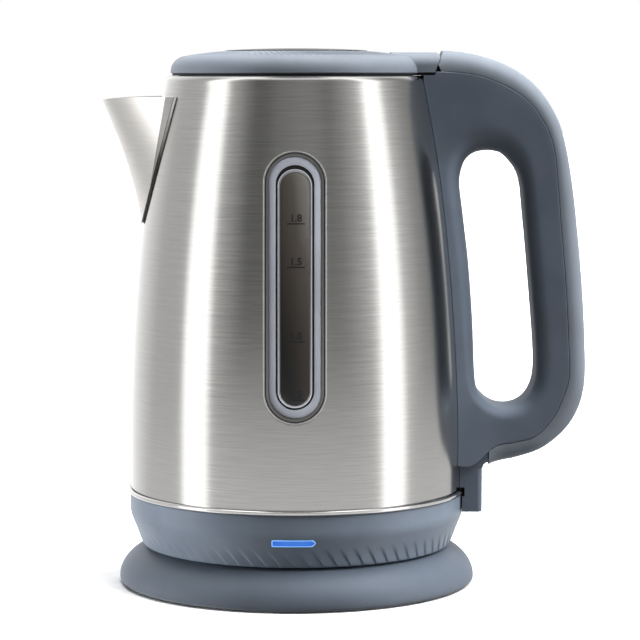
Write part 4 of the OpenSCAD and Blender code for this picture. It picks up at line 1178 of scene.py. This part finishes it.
@dataclass
class Window:
    """The water gauge: a moulded band, a bright inner line, an opaque strip and its scale."""

    centre: float = 138.0
    drop: float = 0.45
    marks: tuple[tuple[float, str], ...] = (
        (165.0, "1.8"), (146.7, "1.5"), (115.3, "1.0"), (90.5, "0.5"))

    def loop(self, half: float, straight: float, offset: float, drop: float = 0.0) -> np.ndarray:
        """A racetrack laid on the steel's side.

        Args:
            half: half its width.
            straight: half the length of its upright sides.
            offset: how far it stands out from the side.
            drop: how far its middle lies below the window's.

        Returns:
            The loop's points.
        """
        rise = steps(-straight, straight, 40)
        turn = np.radians(steps(0, 180, 28))[1:-1]
        arc = np.stack([half * np.cos(turn), half * np.sin(turn) + straight], axis=-1)
        right = np.stack([np.full_like(rise, half), rise], axis=-1)
        path = np.concatenate([right, arc, -right, -arc])
        return FORM.wrap(path + (0.0, self.centre - drop), offset)

    def band(self) -> bpy.types.Object:
        """Builds the moulded band between the steel and the strip.

        Returns:
            The object.
        """
        rows = [(11.3, 44.3, -2.4), (11.25, 44.3, -1.3), (11.0, 44.25, -1.06), (10.2, 44.15, -0.94),
                (9.2, 43.95, -0.9), (8.6, 43.7, -0.94), (8.2, 43.5, -1.06), (8.15, 43.5, -2.4)]
        piece = Piece("gauge_band")
        piece.grid(np.array([self.loop(*row) for row in rows]), across=True)
        return piece.build(Finish.BAND, sharp=50.0)

    def line(self, name: str, finish: Finish, rows: Sequence[Point],
             drop: float = 0.0) -> bpy.types.Object:
        """Builds one thin closed line from (half width, straight, offset) rows.

        Args:
            name: its name.
            finish: its finish.
            rows: (half width, straight, offset) for each row.
            drop: how far its middle lies below the window's.

        Returns:
            The object.
        """
        piece = Piece(name)
        piece.grid(np.array([self.loop(*row, drop) for row in rows]), across=True)
        return piece.build(finish, sharp=60.0)

    def strip(self) -> bpy.types.Object:
        """Builds the strip, with a slightly crowned face.

        Returns:
            The object.
        """
        rows = [(6.3, 42.9, -2.2), (6.3, 42.9, -1.1), (6.1, 42.9, -0.95)]
        rows += [(half, 42.9, -0.95 + 0.3 * (1 - (half / 6.1) ** 2))
                 for half in (4.6, 3.1, 1.6, 0.02)]
        piece = Piece("gauge_strip")
        ids = piece.grid(np.array([self.loop(*row, self.drop) for row in rows]), across=True)
        piece.cap(ids[-1])
        return piece.build(Finish.GAUGE, sharp=50.0, weld=0.001)

    def scale(self) -> bpy.types.Object:
        """Builds the level lines and their plain numbers.

        Returns:
            The object.
        """
        piece = Piece("gauge_scale")

        def stand(x: np.ndarray) -> np.ndarray:
            """How far the print stands out at x."""
            return -0.92 + 0.3 * (1 - (x / 6.1) ** 2)

        for z, digits in self.marks:
            x = steps(-3.4, 4.2, 8)
            rows = [np.stack([x, np.full_like(x, z + dz)], axis=-1) for dz in (-0.27, 0.27)]
            piece.grid(np.array([FORM.wrap(r, stand(r[:, 0])) for r in rows]))
            text = bpy.data.curves.new("digits", "FONT")
            text.body, text.size, text.align_x, text.offset = digits, 4.3, "CENTER", 0.09
            holder = bpy.data.objects.new("digits", text)
            bpy.context.scene.collection.objects.link(holder)
            bpy.context.view_layer.update()
            mesh = bpy.data.meshes.new_from_object(
                holder.evaluated_get(bpy.context.evaluated_depsgraph_get()))
            local = np.array([v.co[:2] for v in mesh.vertices]) + (0.4, z + 1.0)
            base = piece.count
            piece.rows.append(FORM.wrap(local, stand(local[:, 0])))
            piece.count += len(local)
            for polygon in mesh.polygons:
                piece.cap([base + i for i in polygon.vertices])
            bpy.data.objects.remove(holder)
            bpy.data.meshes.remove(mesh)
        return piece.build(Finish.INK, sharp=60.0)

    def make(self, frame: dict) -> None:
        """Builds the window.

        Args:
            frame: not needed here; every sub-assembly is called in the same way.
        """
        mount(self.band(), "kettle", "clear_window", "window_lens")
        for name, finish, slot, drop, rows in (
                # Painted shade: a near-black line in the groove.
                ("gauge_groove", Finish.SHADOW, "black_plastic", self.drop,
                 [(8.3, 43.9, -1.7), (7.8, 43.6, -1.3), (7.2, 43.2, -1.3), (7.1, 43.2, -2.2)]),
                ("gauge_line", Finish.BRIGHT, "clear_window", self.drop,
                 [(7.35, 43.2, -2.2), (7.3, 43.2, -0.95), (7.1, 43.0, -0.72), (6.7, 42.9, -0.70),
                  (6.5, 42.9, -0.82), (6.45, 42.9, -2.2)]),
                # Painted shade: the border wears a darker copy of the steel.
                ("gauge_border", Finish.BORDER, "steel_brushed", 0.0,
                 [(11.2, 44.3, -1.6), (11.3, 44.3, -0.6), (11.8, 44.3, -0.42),
                  (12.4, 44.3, -0.38), (12.45, 44.3, -1.0)]),
                # Painted shade: a near-black line in the gap round the border.
                ("gauge_gap_shade", Finish.SHADOW, "black_plastic", 0.0,
                 [(12.3, 44.3, -0.8), (12.35, 44.3, -0.2), (12.8, 44.3, 0.02),
                  (12.85, 44.3, -0.8)]),
                ("gauge_bead", Finish.STEEL, "steel_brushed", 0.0,
                 [(12.8, 44.3, -0.8), (12.85, 44.3, 0.08), (13.0, 44.3, 0.22), (13.3, 44.3, 0.22),
                  (13.5, 44.3, 0.08), (13.55, 44.3, -0.8)])):
            mount(self.line(name, finish, rows, drop), "kettle", slot)
        mount(self.strip(), "kettle", "clear_window")
        mount(self.scale(), "kettle", "black_plastic")


# ------------------------------------------------------------------ lid


@dataclass
class Lid:
    """The lid: a pleated dome, a glossy disc and the tail that is hinged to the handle."""

    low: float = 228.4
    radius: float = 56.0
    dome: float = 238.2
    bend: float = 7.0
    disc: float = 31.8
    flutes: int = 96
    depth: float = 0.34
    tail_wide: float = 8.3
    tail_deep: float = 6.0

    def height(self, r: float) -> float:
        """Height of the dome at a distance from the axis.

        Args:
            r: the distance.

        Returns:
            The height.
        """
        edge = self.radius - self.bend + 1
        foot = self.low + 0.7 + self.bend * math.cos(math.radians(8.2))
        share = max(r - self.disc, 0.0) / (edge - self.disc)
        return self.dome - (self.dome - foot) * share ** 1.4

    def shell(self) -> bpy.types.Object:
        """Builds the dome with its pleats.

        Returns:
            The object.
        """
        rim, top = self.radius, self.dome
        arc = [(rim - self.bend + self.bend * math.cos(a),
                self.low + 0.7 + self.bend * math.sin(a), 0.0)
               for a in np.radians(steps(4, 80, 14))]
        rows = [(rim - 2.4, self.low, 0.0), (rim - 0.45, self.low, 0.0),
                (rim - 0.1, self.low + 0.12, 0.0), (rim + 0.06, self.low + 0.45, 0.0),
                (rim + 0.02, self.low + 0.8, 0.0), *arc]
        rows += [(r, self.height(r), 1.0) for r in steps(50.3, self.disc + 0.5, 34)]
        rows += [(self.disc + 0.5, top - 1.2, 0.0), (1.0, top - 1.2, 0.0), (1.0, top - 3.2, 0.0),
                 (self.disc + 1.5, top - 2.2, 0.0)]
        rows += [(r, self.height(r) - 2.2, 0.0) for r in steps(36.0, 49.0, 4)]
        rows += [(rim - 4.4, self.low + 4.0, 0.0), (rim - 4.4, self.low + 2.5, 0.0),
                 (rim - 2.4, self.low + 2.5, 0.0)]
        stops = np.array([0.0, 0.28, 0.56, 0.84])
        phase = (np.arange(self.flutes)[:, None] + stops).reshape(-1)
        points = []
        for r, z, live in rows:
            fade = live * float(np.clip((r - 33.5) / 2.0, 0, 1) * np.clip((50.0 - r) / 4.0, 0, 1))
            slide = -0.012 * max(50.3 - max(r, self.disc + 0.5), 0.0)
            angle = phase / self.flutes * 2 * math.pi + slide
            lift = z - self.depth * fade * pleat(phase)
            points.append(np.stack([r * np.sin(angle), -r * np.cos(angle), lift], axis=-1))
        piece = Piece("lid_top")
        piece.grid(np.array(points), across=True, along=True)
        return piece.build(Finish.SLATE_LID, sharp=30.0)

    def tail(self) -> bpy.types.Object:
        """Builds the tail: flat on top, with round edges and a slanted, rounded end.

        Returns:
            The object.
        """
        form, start = FORM, self.radius - 14
        low, high, half = self.low + 0.4, form.lid_high, form.arm
        outline = [(start, low), (form.slant(low, form.knuckle), low)]
        for a in np.linspace(-form.tail_lean, math.pi / 2, 16):
            reach = form.knuckle / max(math.cos(a + form.tail_lean), math.sin(a))
            reach = min(reach, form.knuckle + 0.22)
            outline.append((form.pin_x + reach * math.cos(a), form.pin_z + reach * math.sin(a)))
        outline += [(start, high)]
        side = Piece("lid_tail")
        side.prism(outline, -half, half, upright)
        thing = side.build(Finish.SLATE)
        bend = [(half - self.tail_wide * (1 - math.cos(a)),
                 high - self.tail_deep * (1 - math.sin(a)))
                for a in np.linspace(0.0, math.pi / 2, 14)]
        across = [(-half, low - 1), *((-y, z) for y, z in bend), *reversed(bend), (half, low - 1)]
        cross = Piece("tail_cross")
        cross.prism(across, start - 1, start + 40, sideways)
        carve(thing, cross.build(Finish.SLATE), "INTERSECT")
        inner = Piece("tail_room")
        inner.revolve(np.array([(0.5, low - 2), (self.radius - 2.4, low - 2),
                                (self.radius - 2.4, self.low + 2.5),
                                (self.radius - 4.4, self.low + 2.5),
                                (self.radius - 4.4, self.low + 4.2), (0.5, self.low + 4.2)]),
                      96, closed=True)
        carve(thing, inner.build(Finish.SLATE))
        slots = Piece("tail_slots")
        back = form.pin_x - form.knuckle - 0.3
        for y0, y1 in ((-9.3, -5.7), (-3.3, 3.3), (5.7, 9.3)):
            slots.box((back, y0, low - 4), (back + 20, y1, 250.0))
        carve(thing, slots.build(Finish.SLATE))
        return thing

    def gap_shade(self) -> bpy.types.Object:
        """Builds a dark sheet of painted shade under the rim, which closes the gap to the steel.

        Returns:
            The object.
        """
        low, high, out = FORM.high + 0.1, self.low + 0.1, self.radius - 0.7
        piece = Piece("lid_gap_shade")
        piece.revolve(np.array([(out - 3.0, low), (out, low), (out, high), (out - 3.0, high)]), 160,
                      closed=True)
        piece.box((48.0, -15.0, low), (58.2, 15.0, self.low + 0.5))
        for side in (-12.5, 12.5):
            piece.box((58.1, side - 2.5, low), (60.9, side + 2.5, self.low + 0.5))
        return piece.build(Finish.SHADOW)

    def plaque(self) -> bpy.types.Object:
        """Builds the glossy disc that is let into the dome.

        Returns:
            The object.
        """
        top = self.dome
        corners = [(0.01, top - 0.9, 0), (self.disc, top - 0.9, 0), (self.disc, top + 0.35, 0.4),
                   (self.disc - 0.8, top + 0.5, 0.6)]
        corners += [(r, top + 0.4 + 0.9 * (1 - (r / self.disc) ** 2), 0.0)
                    for r in steps(self.disc - 2.0, 0.01, 16)]
        piece = Piece("lid_plaque")
        piece.revolve(rounded(corners, 5), 192, closed=True)
        return piece.build(Finish.BROWN, sharp=50.0)

    def make(self, frame: dict) -> None:
        """Builds and dresses the lid.
        """
        mount(self.shell(), "lid", "slate_plastic", "lid_cover")
        mount(self.tail(), "lid", "slate_plastic")
        # Painted shade: a dark sheet in the gap under the rim and the tail.
        mount(self.gap_shade(), "lid", "seal_rubber")
        mount(self.plaque(), "lid", "brown_gloss", "lid_disc")
        dress(("lid_plug",), Finish.SLATE_DARK, frame)
        dress(("lid_seal",), Finish.SEAL, frame)
        dress(("lid_screws", "lid_spring"), Finish.SCREW, frame)


# ------------------------------------------------------------------ handle


@dataclass
class Handle:
    """The hollow handle: a dark frame with a lighter cover along its outer side."""

    reach: float = 54.4
    grip: float = 15.5
    root: float = 21.0
    depth: float = 9.8
    joint: float = 0.15
    ledge: float = 0.3
    ear_y: float = 7.5
    crisp: float = 35.0
    # Outer line and finger hole (each as percent of the reach and of the body's height), the
    # root's share at the outer line and at the hole, the grip's share and the cover's depth,
    # and how far the soft edge of the hole runs up the side
    stations: tuple[tuple[float, ...], ...] = (
        (-27.2, 105.8, 10.0, 81.7, 0.0, 0.0, 0.0, 1.00, 11.0),
        (4.0, 105.3, 20.6, 82.0, 0.0, 0.0, 0.0, 0.98, 12.0),
        (33.5, 102.5, 30.7, 81.2, 0.0, 0.0, 0.2, 0.94, 12.0),
        (55.5, 98.2, 38.6, 79.0, 0.0, 0.0, 0.5, 0.87, 11.5),
        (71.3, 92.2, 44.1, 76.4, 0.0, 0.0, 0.8, 0.80, 10.0),
        (80.9, 85.4, 47.1, 72.9, 0.0, 0.0, 1.0, 0.76, 8.5),
        (87.9, 74.8, 48.9, 67.7, 0.0, 0.0, 1.0, 0.77, 7.0),
        (93.4, 61.2, 51.7, 59.5, 0.0, 0.0, 1.0, 0.78, 6.5),
        (97.2, 48.6, 55.0, 48.6, 0.0, 0.0, 1.0, 0.79, 6.5),
        (99.6, 36.1, 58.5, 36.1, 0.0, 0.0, 1.0, 0.79, 6.5),
        (100.0, 26.3, 59.4, 29.1, 0.0, 0.0, 1.0, 0.79, 6.5),
        (95.2, 19.5, 57.4, 25.0, 0.0, 0.0, 0.9, 0.90, 6.5),
        (83.6, 14.0, 52.2, 22.0, 0.0, 0.0, 0.7, 0.82, 6.0),
        (64.7, 9.6, 44.9, 20.3, 0.0, 0.0, 0.4, 0.68, 6.0),
        (44.5, 7.4, 35.3, 19.6, 0.0, 0.0, 0.2, 0.76, 5.5),
        (24.3, 6.1, 25.7, 20.1, 0.2, 0.0, 0.0, 0.78, 5.5),
        (2.2, 3.5, 16.9, 21.8, 0.8, 0.1, 0.0, 0.40, 5.5),
        (-19.9, 8.9, 10.8, 24.4, 1.2, 0.1, 0.0, 0.00, 5.5),
        (-23.5, 22.5, 8.6, 29.1, 1.4, 0.2, 0.0, 0.00, 5.5),
        (-23.5, 38.8, 7.0, 40.5, 1.4, 0.2, 0.0, 0.00, 5.5),
        (-27.2, 55.2, 3.7, 54.1, 1.2, 0.1, 0.0, 0.00, 6.0),
        (-32.7, 68.8, -0.9, 66.1, 0.8, 0.0, 0.0, 0.00, 7.0),
        (-41.9, 80.7, -4.0, 74.2, 0.4, 0.0, 0.0, 0.00, 8.5),
        (-52.9, 93.3, -1.5, 78.4, 0.1, 0.0, 0.0, 0.00, 10.0),
        (-52.9, 103.0, 3.0, 80.5, 0.0, 0.0, 0.0, 0.60, 10.5))
    top_percent: float = 105.6

    def at(self, u: float) -> np.ndarray:
        """The station at place u round the loop, on a smooth curve through all of them.

        Args:
            u: the place; whole numbers are the stations.

        Returns:
            The station's values.
        """
        rows, n, i = np.array(self.stations), len(self.stations), int(math.floor(u))
        t = u - i
        a, b, c, d = (rows[(i + k) % n] for k in (-1, 0, 1, 2))
        return 0.5 * (2 * b + (c - a) * t + (2 * a - 5 * b + 4 * c - d) * t * t
                      + (3 * b - a - 3 * c + d) * t**3)

    def place(self, across: float, up: float) -> np.ndarray:
        """Turns percents of the reach and of the height into x and z.

        Args:
            across: percent of the reach.
            up: percent of the body's height.

        Returns:
            The x and z.
        """
        form = FORM
        over = (up - 100) * (form.lid_high - form.high) / (self.top_percent - 100)
        z = form.low + up / 100 * (form.high - form.low) if up < 100 else form.high + over
        return np.array([form.low_r + across / 100 * self.reach, z])

    def half(self, s: np.ndarray, share: float) -> float:
        """Half width of the section at a share of the way from the outer line to the hole."""
        lean = s[4] + (s[5] - s[4]) * share
        return FORM.arm + (self.grip - FORM.arm) * s[6] + (self.root - FORM.arm) * lean

    def section(self, u: float, covered: bool, cover: bool) -> np.ndarray:
        """One closed section across the handle.

        Args:
            u: its place round the loop.
            covered: whether it starts under the cover instead of at the outer line.
            cover: whether it ends where the cover ends instead of at the hole.

        Returns:
            The section's points.
        """
        s = self.at(u)
        p, q = self.place(s[0], s[1]), self.place(s[2], s[3])
        length = float(np.linalg.norm(q - p))
        way = (q - p) / length
        a0 = s[7] * self.depth + self.joint if covered else 0.0
        ledge = self.ledge if cover else 0.0
        a1 = s[7] * self.depth if cover else length
        r0, w0 = (0.35, 0.35) if covered else (0.88 * a1, min(8.4, 0.86 * a1))
        if cover:
            ra, rw = 0.3, 0.3
        else:
            ra, rw = min(s[8], (length - a0) * 0.55), min(9.0, 4.0 + s[8] * 0.45)
        turn = np.radians(steps(90, 0, 8))
        path = [(a0 + r0 * (1 - math.sin(a)), -w0 * (1 - math.cos(a))) for a in turn]
        middle = np.linspace(a0 + r0, a1 - ra, 5)[1:-1]
        path += [(a, 0.0) for a in middle]
        path += [(a1 - ra * (1 - math.sin(a)), -rw * (1 - math.cos(a)))
                 for a in np.radians(steps(0, 90, 10))]
        left = [(a, self.half(s, a / length) + w - ledge) for a, w in path]
        loop = left + [(a, -w) for a, w in reversed(left)]
        return np.array([(p[0] + way[0] * a, w, p[1] + way[1] * a) for a, w in loop])

    def sweep(self, name: str, first: float, last: float, covered: bool, cover: bool,
              finish: Finish, fine: int = 7) -> bpy.types.Object:
        """Sweeps the section round the loop; a part of the loop is closed at both ends.

        Args:
            name: the piece's name.
            first: the place where it starts.
            last: the place where it ends.
            covered: whether it starts under the cover instead of at the outer line.
            cover: whether it ends where the cover ends instead of at the hole.
            finish: its finish.
            fine: how many sections each station gets.

        Returns:
            The object.
        """
        whole = last - first == len(self.stations)
        count = int(round((last - first) * fine))
        places = steps(first, last, count)[:-1] if whole else steps(first, last, count)
        piece = Piece(name)
        ids = piece.grid(np.array([self.section(u, covered, cover) for u in places]),
                         across=True, along=whole)
        if not whole:
            piece.cap(ids[0][::-1])
            piece.cap(ids[-1])
        return piece.build(finish, sharp=self.crisp)

    def top(self, x: float) -> float:
        """Height of the handle's outer line above x, near the button."""
        line = np.array([self.place(*self.at(u)[:2]) for u in steps(0.0, 5.0, 60)])
        return float(np.interp(x, line[:, 0], line[:, 1]))

    def room(self) -> bpy.types.Object:
        """Builds the space that the body, the ring and the skirt take.

        Returns:
            The object.
        """
        form = FORM
        rows = [(20.0, 30.0)]
        rows += [(float(form.skirt(h)) + 0.8, h) for h in steps(30.0, 40.2, 8)]
        rows += [(form.ring_r + 0.8, 40.2), (form.ring_r + 0.8, 44.3)]
        rows += [(float(form.body(h)) + 0.12, h)
                 for h in steps(44.3, form.high - form.shoulder, 60)]
        rows += [(float(form.body(form.high - 3)) + 0.12, form.high + 0.2), (20.0, form.high + 0.2)]
        piece = Piece("body_room")
        piece.revolve(np.array(rows), 240, closed=True)
        return piece.build(Finish.SLATE_DARK)

    def lid_room(self, low: float) -> bpy.types.Object:
        """Builds the space in front of the slanted joint plane, above a height.

        Args:
            low: the height.

        Returns:
            The object.
        """
        form, behind = FORM, FORM.knuckle + 0.3
        piece = Piece("lid_room")
        piece.prism([(0.0, low), (form.slant(low, behind), low),
                     (form.slant(243.7, behind), 243.7), (0.0, 243.7)], -40.0, 40.0, upright)
        return piece.build(Finish.SLATE_DARK)

    def frame_part(self) -> bpy.types.Object:
        """Builds the dark frame: the loop, the leg behind the skirt and the hinge ears.

        Returns:
            The object.
        """
        form = FORM
        thing = self.sweep("handle_body", 0, len(self.stations), True, False, Finish.SLATE_DARK)
        leg = Piece("leg")
        leg.prism(plate(65.8, 83.1, form.arm, 2.5), 33.2, 58.6, flat)
        carve(thing, leg.build(Finish.SLATE_DARK), "UNION", sharp=self.crisp)
        web = Piece("web")
        web.prism([(70.8, 53.0), (81.1, 53.0), (83.1, 53.1), (83.6, 54.6), (84.6, 55.4),
                   (85.7, 55.6), (85.7, 66.0), (70.8, 76.0)], -form.arm, form.arm, upright)
        carve(thing, web.build(Finish.SLATE_DARK), "UNION", sharp=self.crisp)
        carve(thing, self.room(), sharp=self.crisp)
        carve(thing, self.lid_room(form.high + 0.2), sharp=self.crisp)
        for side in (-self.ear_y, self.ear_y):
            ear = Piece("ear")
            turn = np.radians(steps(-12, 192, 20))
            outline = [(form.pin_x + 2.4 * math.cos(a), form.pin_z + 2.4 * math.sin(a))
                       for a in turn]
            outline += [(form.pin_x - 1.4, 226.4), (form.pin_x + 3.6, 226.4)]
            ear.prism(outline, side - 1.5, side + 1.5, upright)
            carve(thing, ear.build(Finish.SLATE_DARK), "UNION", sharp=self.crisp)
        self.pocket(thing, 223.5)
        # Channel of the latch, pocket of the switch and slot of its arm
        for low, high in (((40.5, -6.3, 218.9), (82.0, 6.3, 223.52)),
                          ((78.3, -7.8, 35.1), (98.0, 7.8, 49.9)),
                          ((60.2, -2.5, 35.0), (80.6, 2.5, 39.2))):
            hollow = Piece("hollow")
            hollow.box(low, high)
            carve(thing, hollow.build(Finish.SLATE_DARK), sharp=self.crisp)
        well = Piece("spring_well")
        well.revolve(np.array([(0.01, 214.2), (3.9, 214.2), (3.9, 234.0), (0.01, 234.0)]), 48,
                     closed=True)
        hole = well.build(Finish.SLATE_DARK)
        hole.data.transform(Matrix.Translation((85.6 * MM, 0, 0)))
        carve(thing, hole, sharp=self.crisp)
        return thing

    def pocket(self, thing: bpy.types.Object, floor: float) -> None:
        """Cuts the button's opening down to a floor height.

        Args:
            thing: the piece that is cut.
            floor: the height of the opening's floor.
        """
        cut = Piece("button_cut")
        cut.prism(plate(70.2, 89.8, 9.3, 3.0), floor, 250.0, flat)
        carve(thing, cut.build(Finish.SLATE_DARK), sharp=self.crisp)

    def cover_part(self) -> bpy.types.Object:
        """Builds the lighter cover with its slanted front end.

        Returns:
            The object.
        """
        form = FORM
        thing = self.sweep("handle_outside", 0, 15.6, False, True, Finish.SLATE)
        carve(thing, self.lid_room(form.high - 5), sharp=self.crisp)
        end = Piece("cover_end")
        end.box((46.0, -40.0, 43.6), (86.0, 40.0, 73.0))
        carve(thing, end.build(Finish.SLATE), sharp=self.crisp)
        self.pocket(thing, 220.5)
        for side in (-self.ear_y, self.ear_y):
            notch = Piece("ear_notch")
            notch.box((56.9, side - 1.8, 222.0), (64.8, side + 1.8, 235.2))
            carve(thing, notch.build(Finish.SLATE), sharp=self.crisp)
        return thing

    def button(self) -> bpy.types.Object:
        """Builds the lid button, dished for a fingertip, with the wedge under it.

        Returns:
            The object.
        """
        outline = np.array(plate(70.5, 89.5, 9.0, 3.0))
        centre = np.array([80.0, 0.0])
        rings = []
        for scale, drop in ((1.0, 99.0), (1.0, 0.55), (0.985, 0.2), (0.955, 0.0), (0.90, 0.02),
                            (0.8, 0.14), (0.65, 0.4), (0.45, 0.62), (0.22, 0.72), (0.05, 0.74)):
            pts = centre + (outline - centre) * scale
            z = [226.4 if drop > 50 else self.top(x) - drop for x, _ in pts]
            rings.append(np.column_stack([pts, z]))
        piece = Piece("button_top")
        ids = piece.grid(np.array(rings), across=True)
        piece.cap(ids[0][::-1])
        piece.cap(ids[-1])
        piece.prism([(73.0, 226.5), (77.0, 226.5), (77.0, 224.5), (74.4, 221.9), (73.0, 221.9)],
                    -4.0, 4.0, upright)
        return piece.build(Finish.SLATE, sharp=self.crisp)

    def make(self, frame: dict) -> None:
        """Builds and dresses the handle, the button, the latch and the switch.
        """
        mount(self.frame_part(), "kettle", "slate_dark_plastic", "handle_frame")
        mount(self.cover_part(), "kettle", "slate_plastic", "handle_cover")
        mount(self.button(), "lid_button", "slate_dark_plastic", "lid_button")
        dress(("handle_screws", "lid_pin", "button_spring", "switch_pin"), Finish.SCREW, frame)
        dress(("lid_latch",), Finish.SEAL, frame)
        dress(("power_switch",), Finish.BLACK, frame)


# ------------------------------------------------------------------ studio


@dataclass
class Studio:
    """The pale floor, the soft lights, the light screen round the object and the camera."""

    focal: float = 146.25
    place: Point = (0.0106, -1.166, 0.228)
    tilt: float = 84.6
    floor_half: float = 9000.0
    floor_z: float = -0.05

    def camera(self) -> None:
        """Sets the camera at the height and distance of the view."""
        data = bpy.data.cameras.new("camera")
        data.lens, data.sensor_width, data.clip_end = self.focal, 36.0, 60.0
        thing = bpy.data.objects.new("camera", data)
        thing.location = self.place
        thing.rotation_euler = (math.radians(self.tilt), 0.0, 0.0)
        bpy.context.scene.collection.objects.link(thing)
        bpy.context.scene.camera = thing

    def floor(self) -> None:
        """Lays the floor."""
        piece = Piece("floor")
        half, z = self.floor_half, self.floor_z
        piece.grid(np.array([[(-half, -half, z), (half, -half, z)],
                             [(-half, half, z), (half, half, z)]]))
        thing = piece.build(Finish.FLOOR)
        thing.visible_diffuse = thing.visible_glossy = thing.visible_shadow = False

    def drum(self, name: str, radius: float, low: float, high: float, finish: Finish,
             reflected: bool) -> None:
        """Stands an upright drum round the object.

        Args:
            name: its name.
            radius: its radius in metres.
            low: the height of its lower edge, in metres.
            high: the height of its upper edge.
            finish: its finish.
            reflected: whether it is seen only in reflections, or else only directly.
        """
        piece = Piece(name)
        piece.revolve(np.array([(radius / MM, low / MM), (radius / MM, high / MM)]), 256)
        thing = piece.build(finish)
        thing.visible_camera = not reflected
        thing.visible_glossy = reflected
        thing.visible_diffuse = thing.visible_shadow = thing.visible_transmission = False

    def lamp(self, name: str, azimuth: float, elevation: float, power: float, angle: float) -> None:
        """Adds one broad, distant light that isn't seen in reflections.

        Args:
            name: its name.
            azimuth: degrees from the camera's side towards the handle.
            elevation: degrees above the floor.
            power: its irradiance, as a share of an even white room's.
            angle: its apparent width in degrees.
        """
        data = bpy.data.lights.new(name, "SUN")
        data.energy, data.angle = power * math.pi, math.radians(angle)
        thing = bpy.data.objects.new(name, data)
        a, e = math.radians(azimuth), math.radians(elevation)
        way = Vector((math.sin(a) * math.cos(e), -math.cos(a) * math.cos(e), math.sin(e)))
        thing.rotation_euler = way.to_track_quat("Z", "Y").to_euler()
        thing.visible_glossy = False
        bpy.context.scene.collection.objects.link(thing)

    def world(self, strength: float) -> None:
        """Fills the room with even white light.

        Args:
            strength: the light's strength.
        """
        world = bpy.data.worlds.new("room")
        world.use_nodes = True
        back = world.node_tree.nodes["Background"]
        back.inputs["Color"].default_value = (1.0, 1.0, 1.0, 1.0)
        back.inputs["Strength"].default_value = strength
        bpy.context.scene.world = world
        bpy.context.scene.view_settings.view_transform = "Standard"

    def make(self) -> None:
        """Builds the studio."""
        self.camera()
        self.world(0.12)
        self.floor()
        self.drum("far_wall", 8.9, 0.0005, 9.0, Finish.WALL, reflected=False)
        self.drum("light_screen", 0.32, -0.5, 1.4, Finish.SCREEN, reflected=True)
        self.lamp("overhead", 172.0, 73.0, 1.35, 50.0)
        self.lamp("top_right", 78.0, 57.0, 2.1, 50.0)
        self.lamp("left", -94.0, -6.0, 1.5, 40.0)
        self.lamp("right", 97.0, -8.0, 0.6, 40.0)
        self.lamp("bounce", 0.0, -80.0, 0.05, 150.0)


# ------------------------------------------------------------------ assembly


def main() -> None:
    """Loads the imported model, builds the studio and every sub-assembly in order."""
    logging.basicConfig(level=logging.INFO, format="%(name)s: %(message)s")
    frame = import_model()
    Studio().make()
    for part in (PowerBase(), Skirt(), SteelBody(), SPOUT, Window(), Lid(), Handle()):
        LOG.info("building %s", type(part).__name__)
        part.make(frame)


if __name__ == "__main__":
    main()
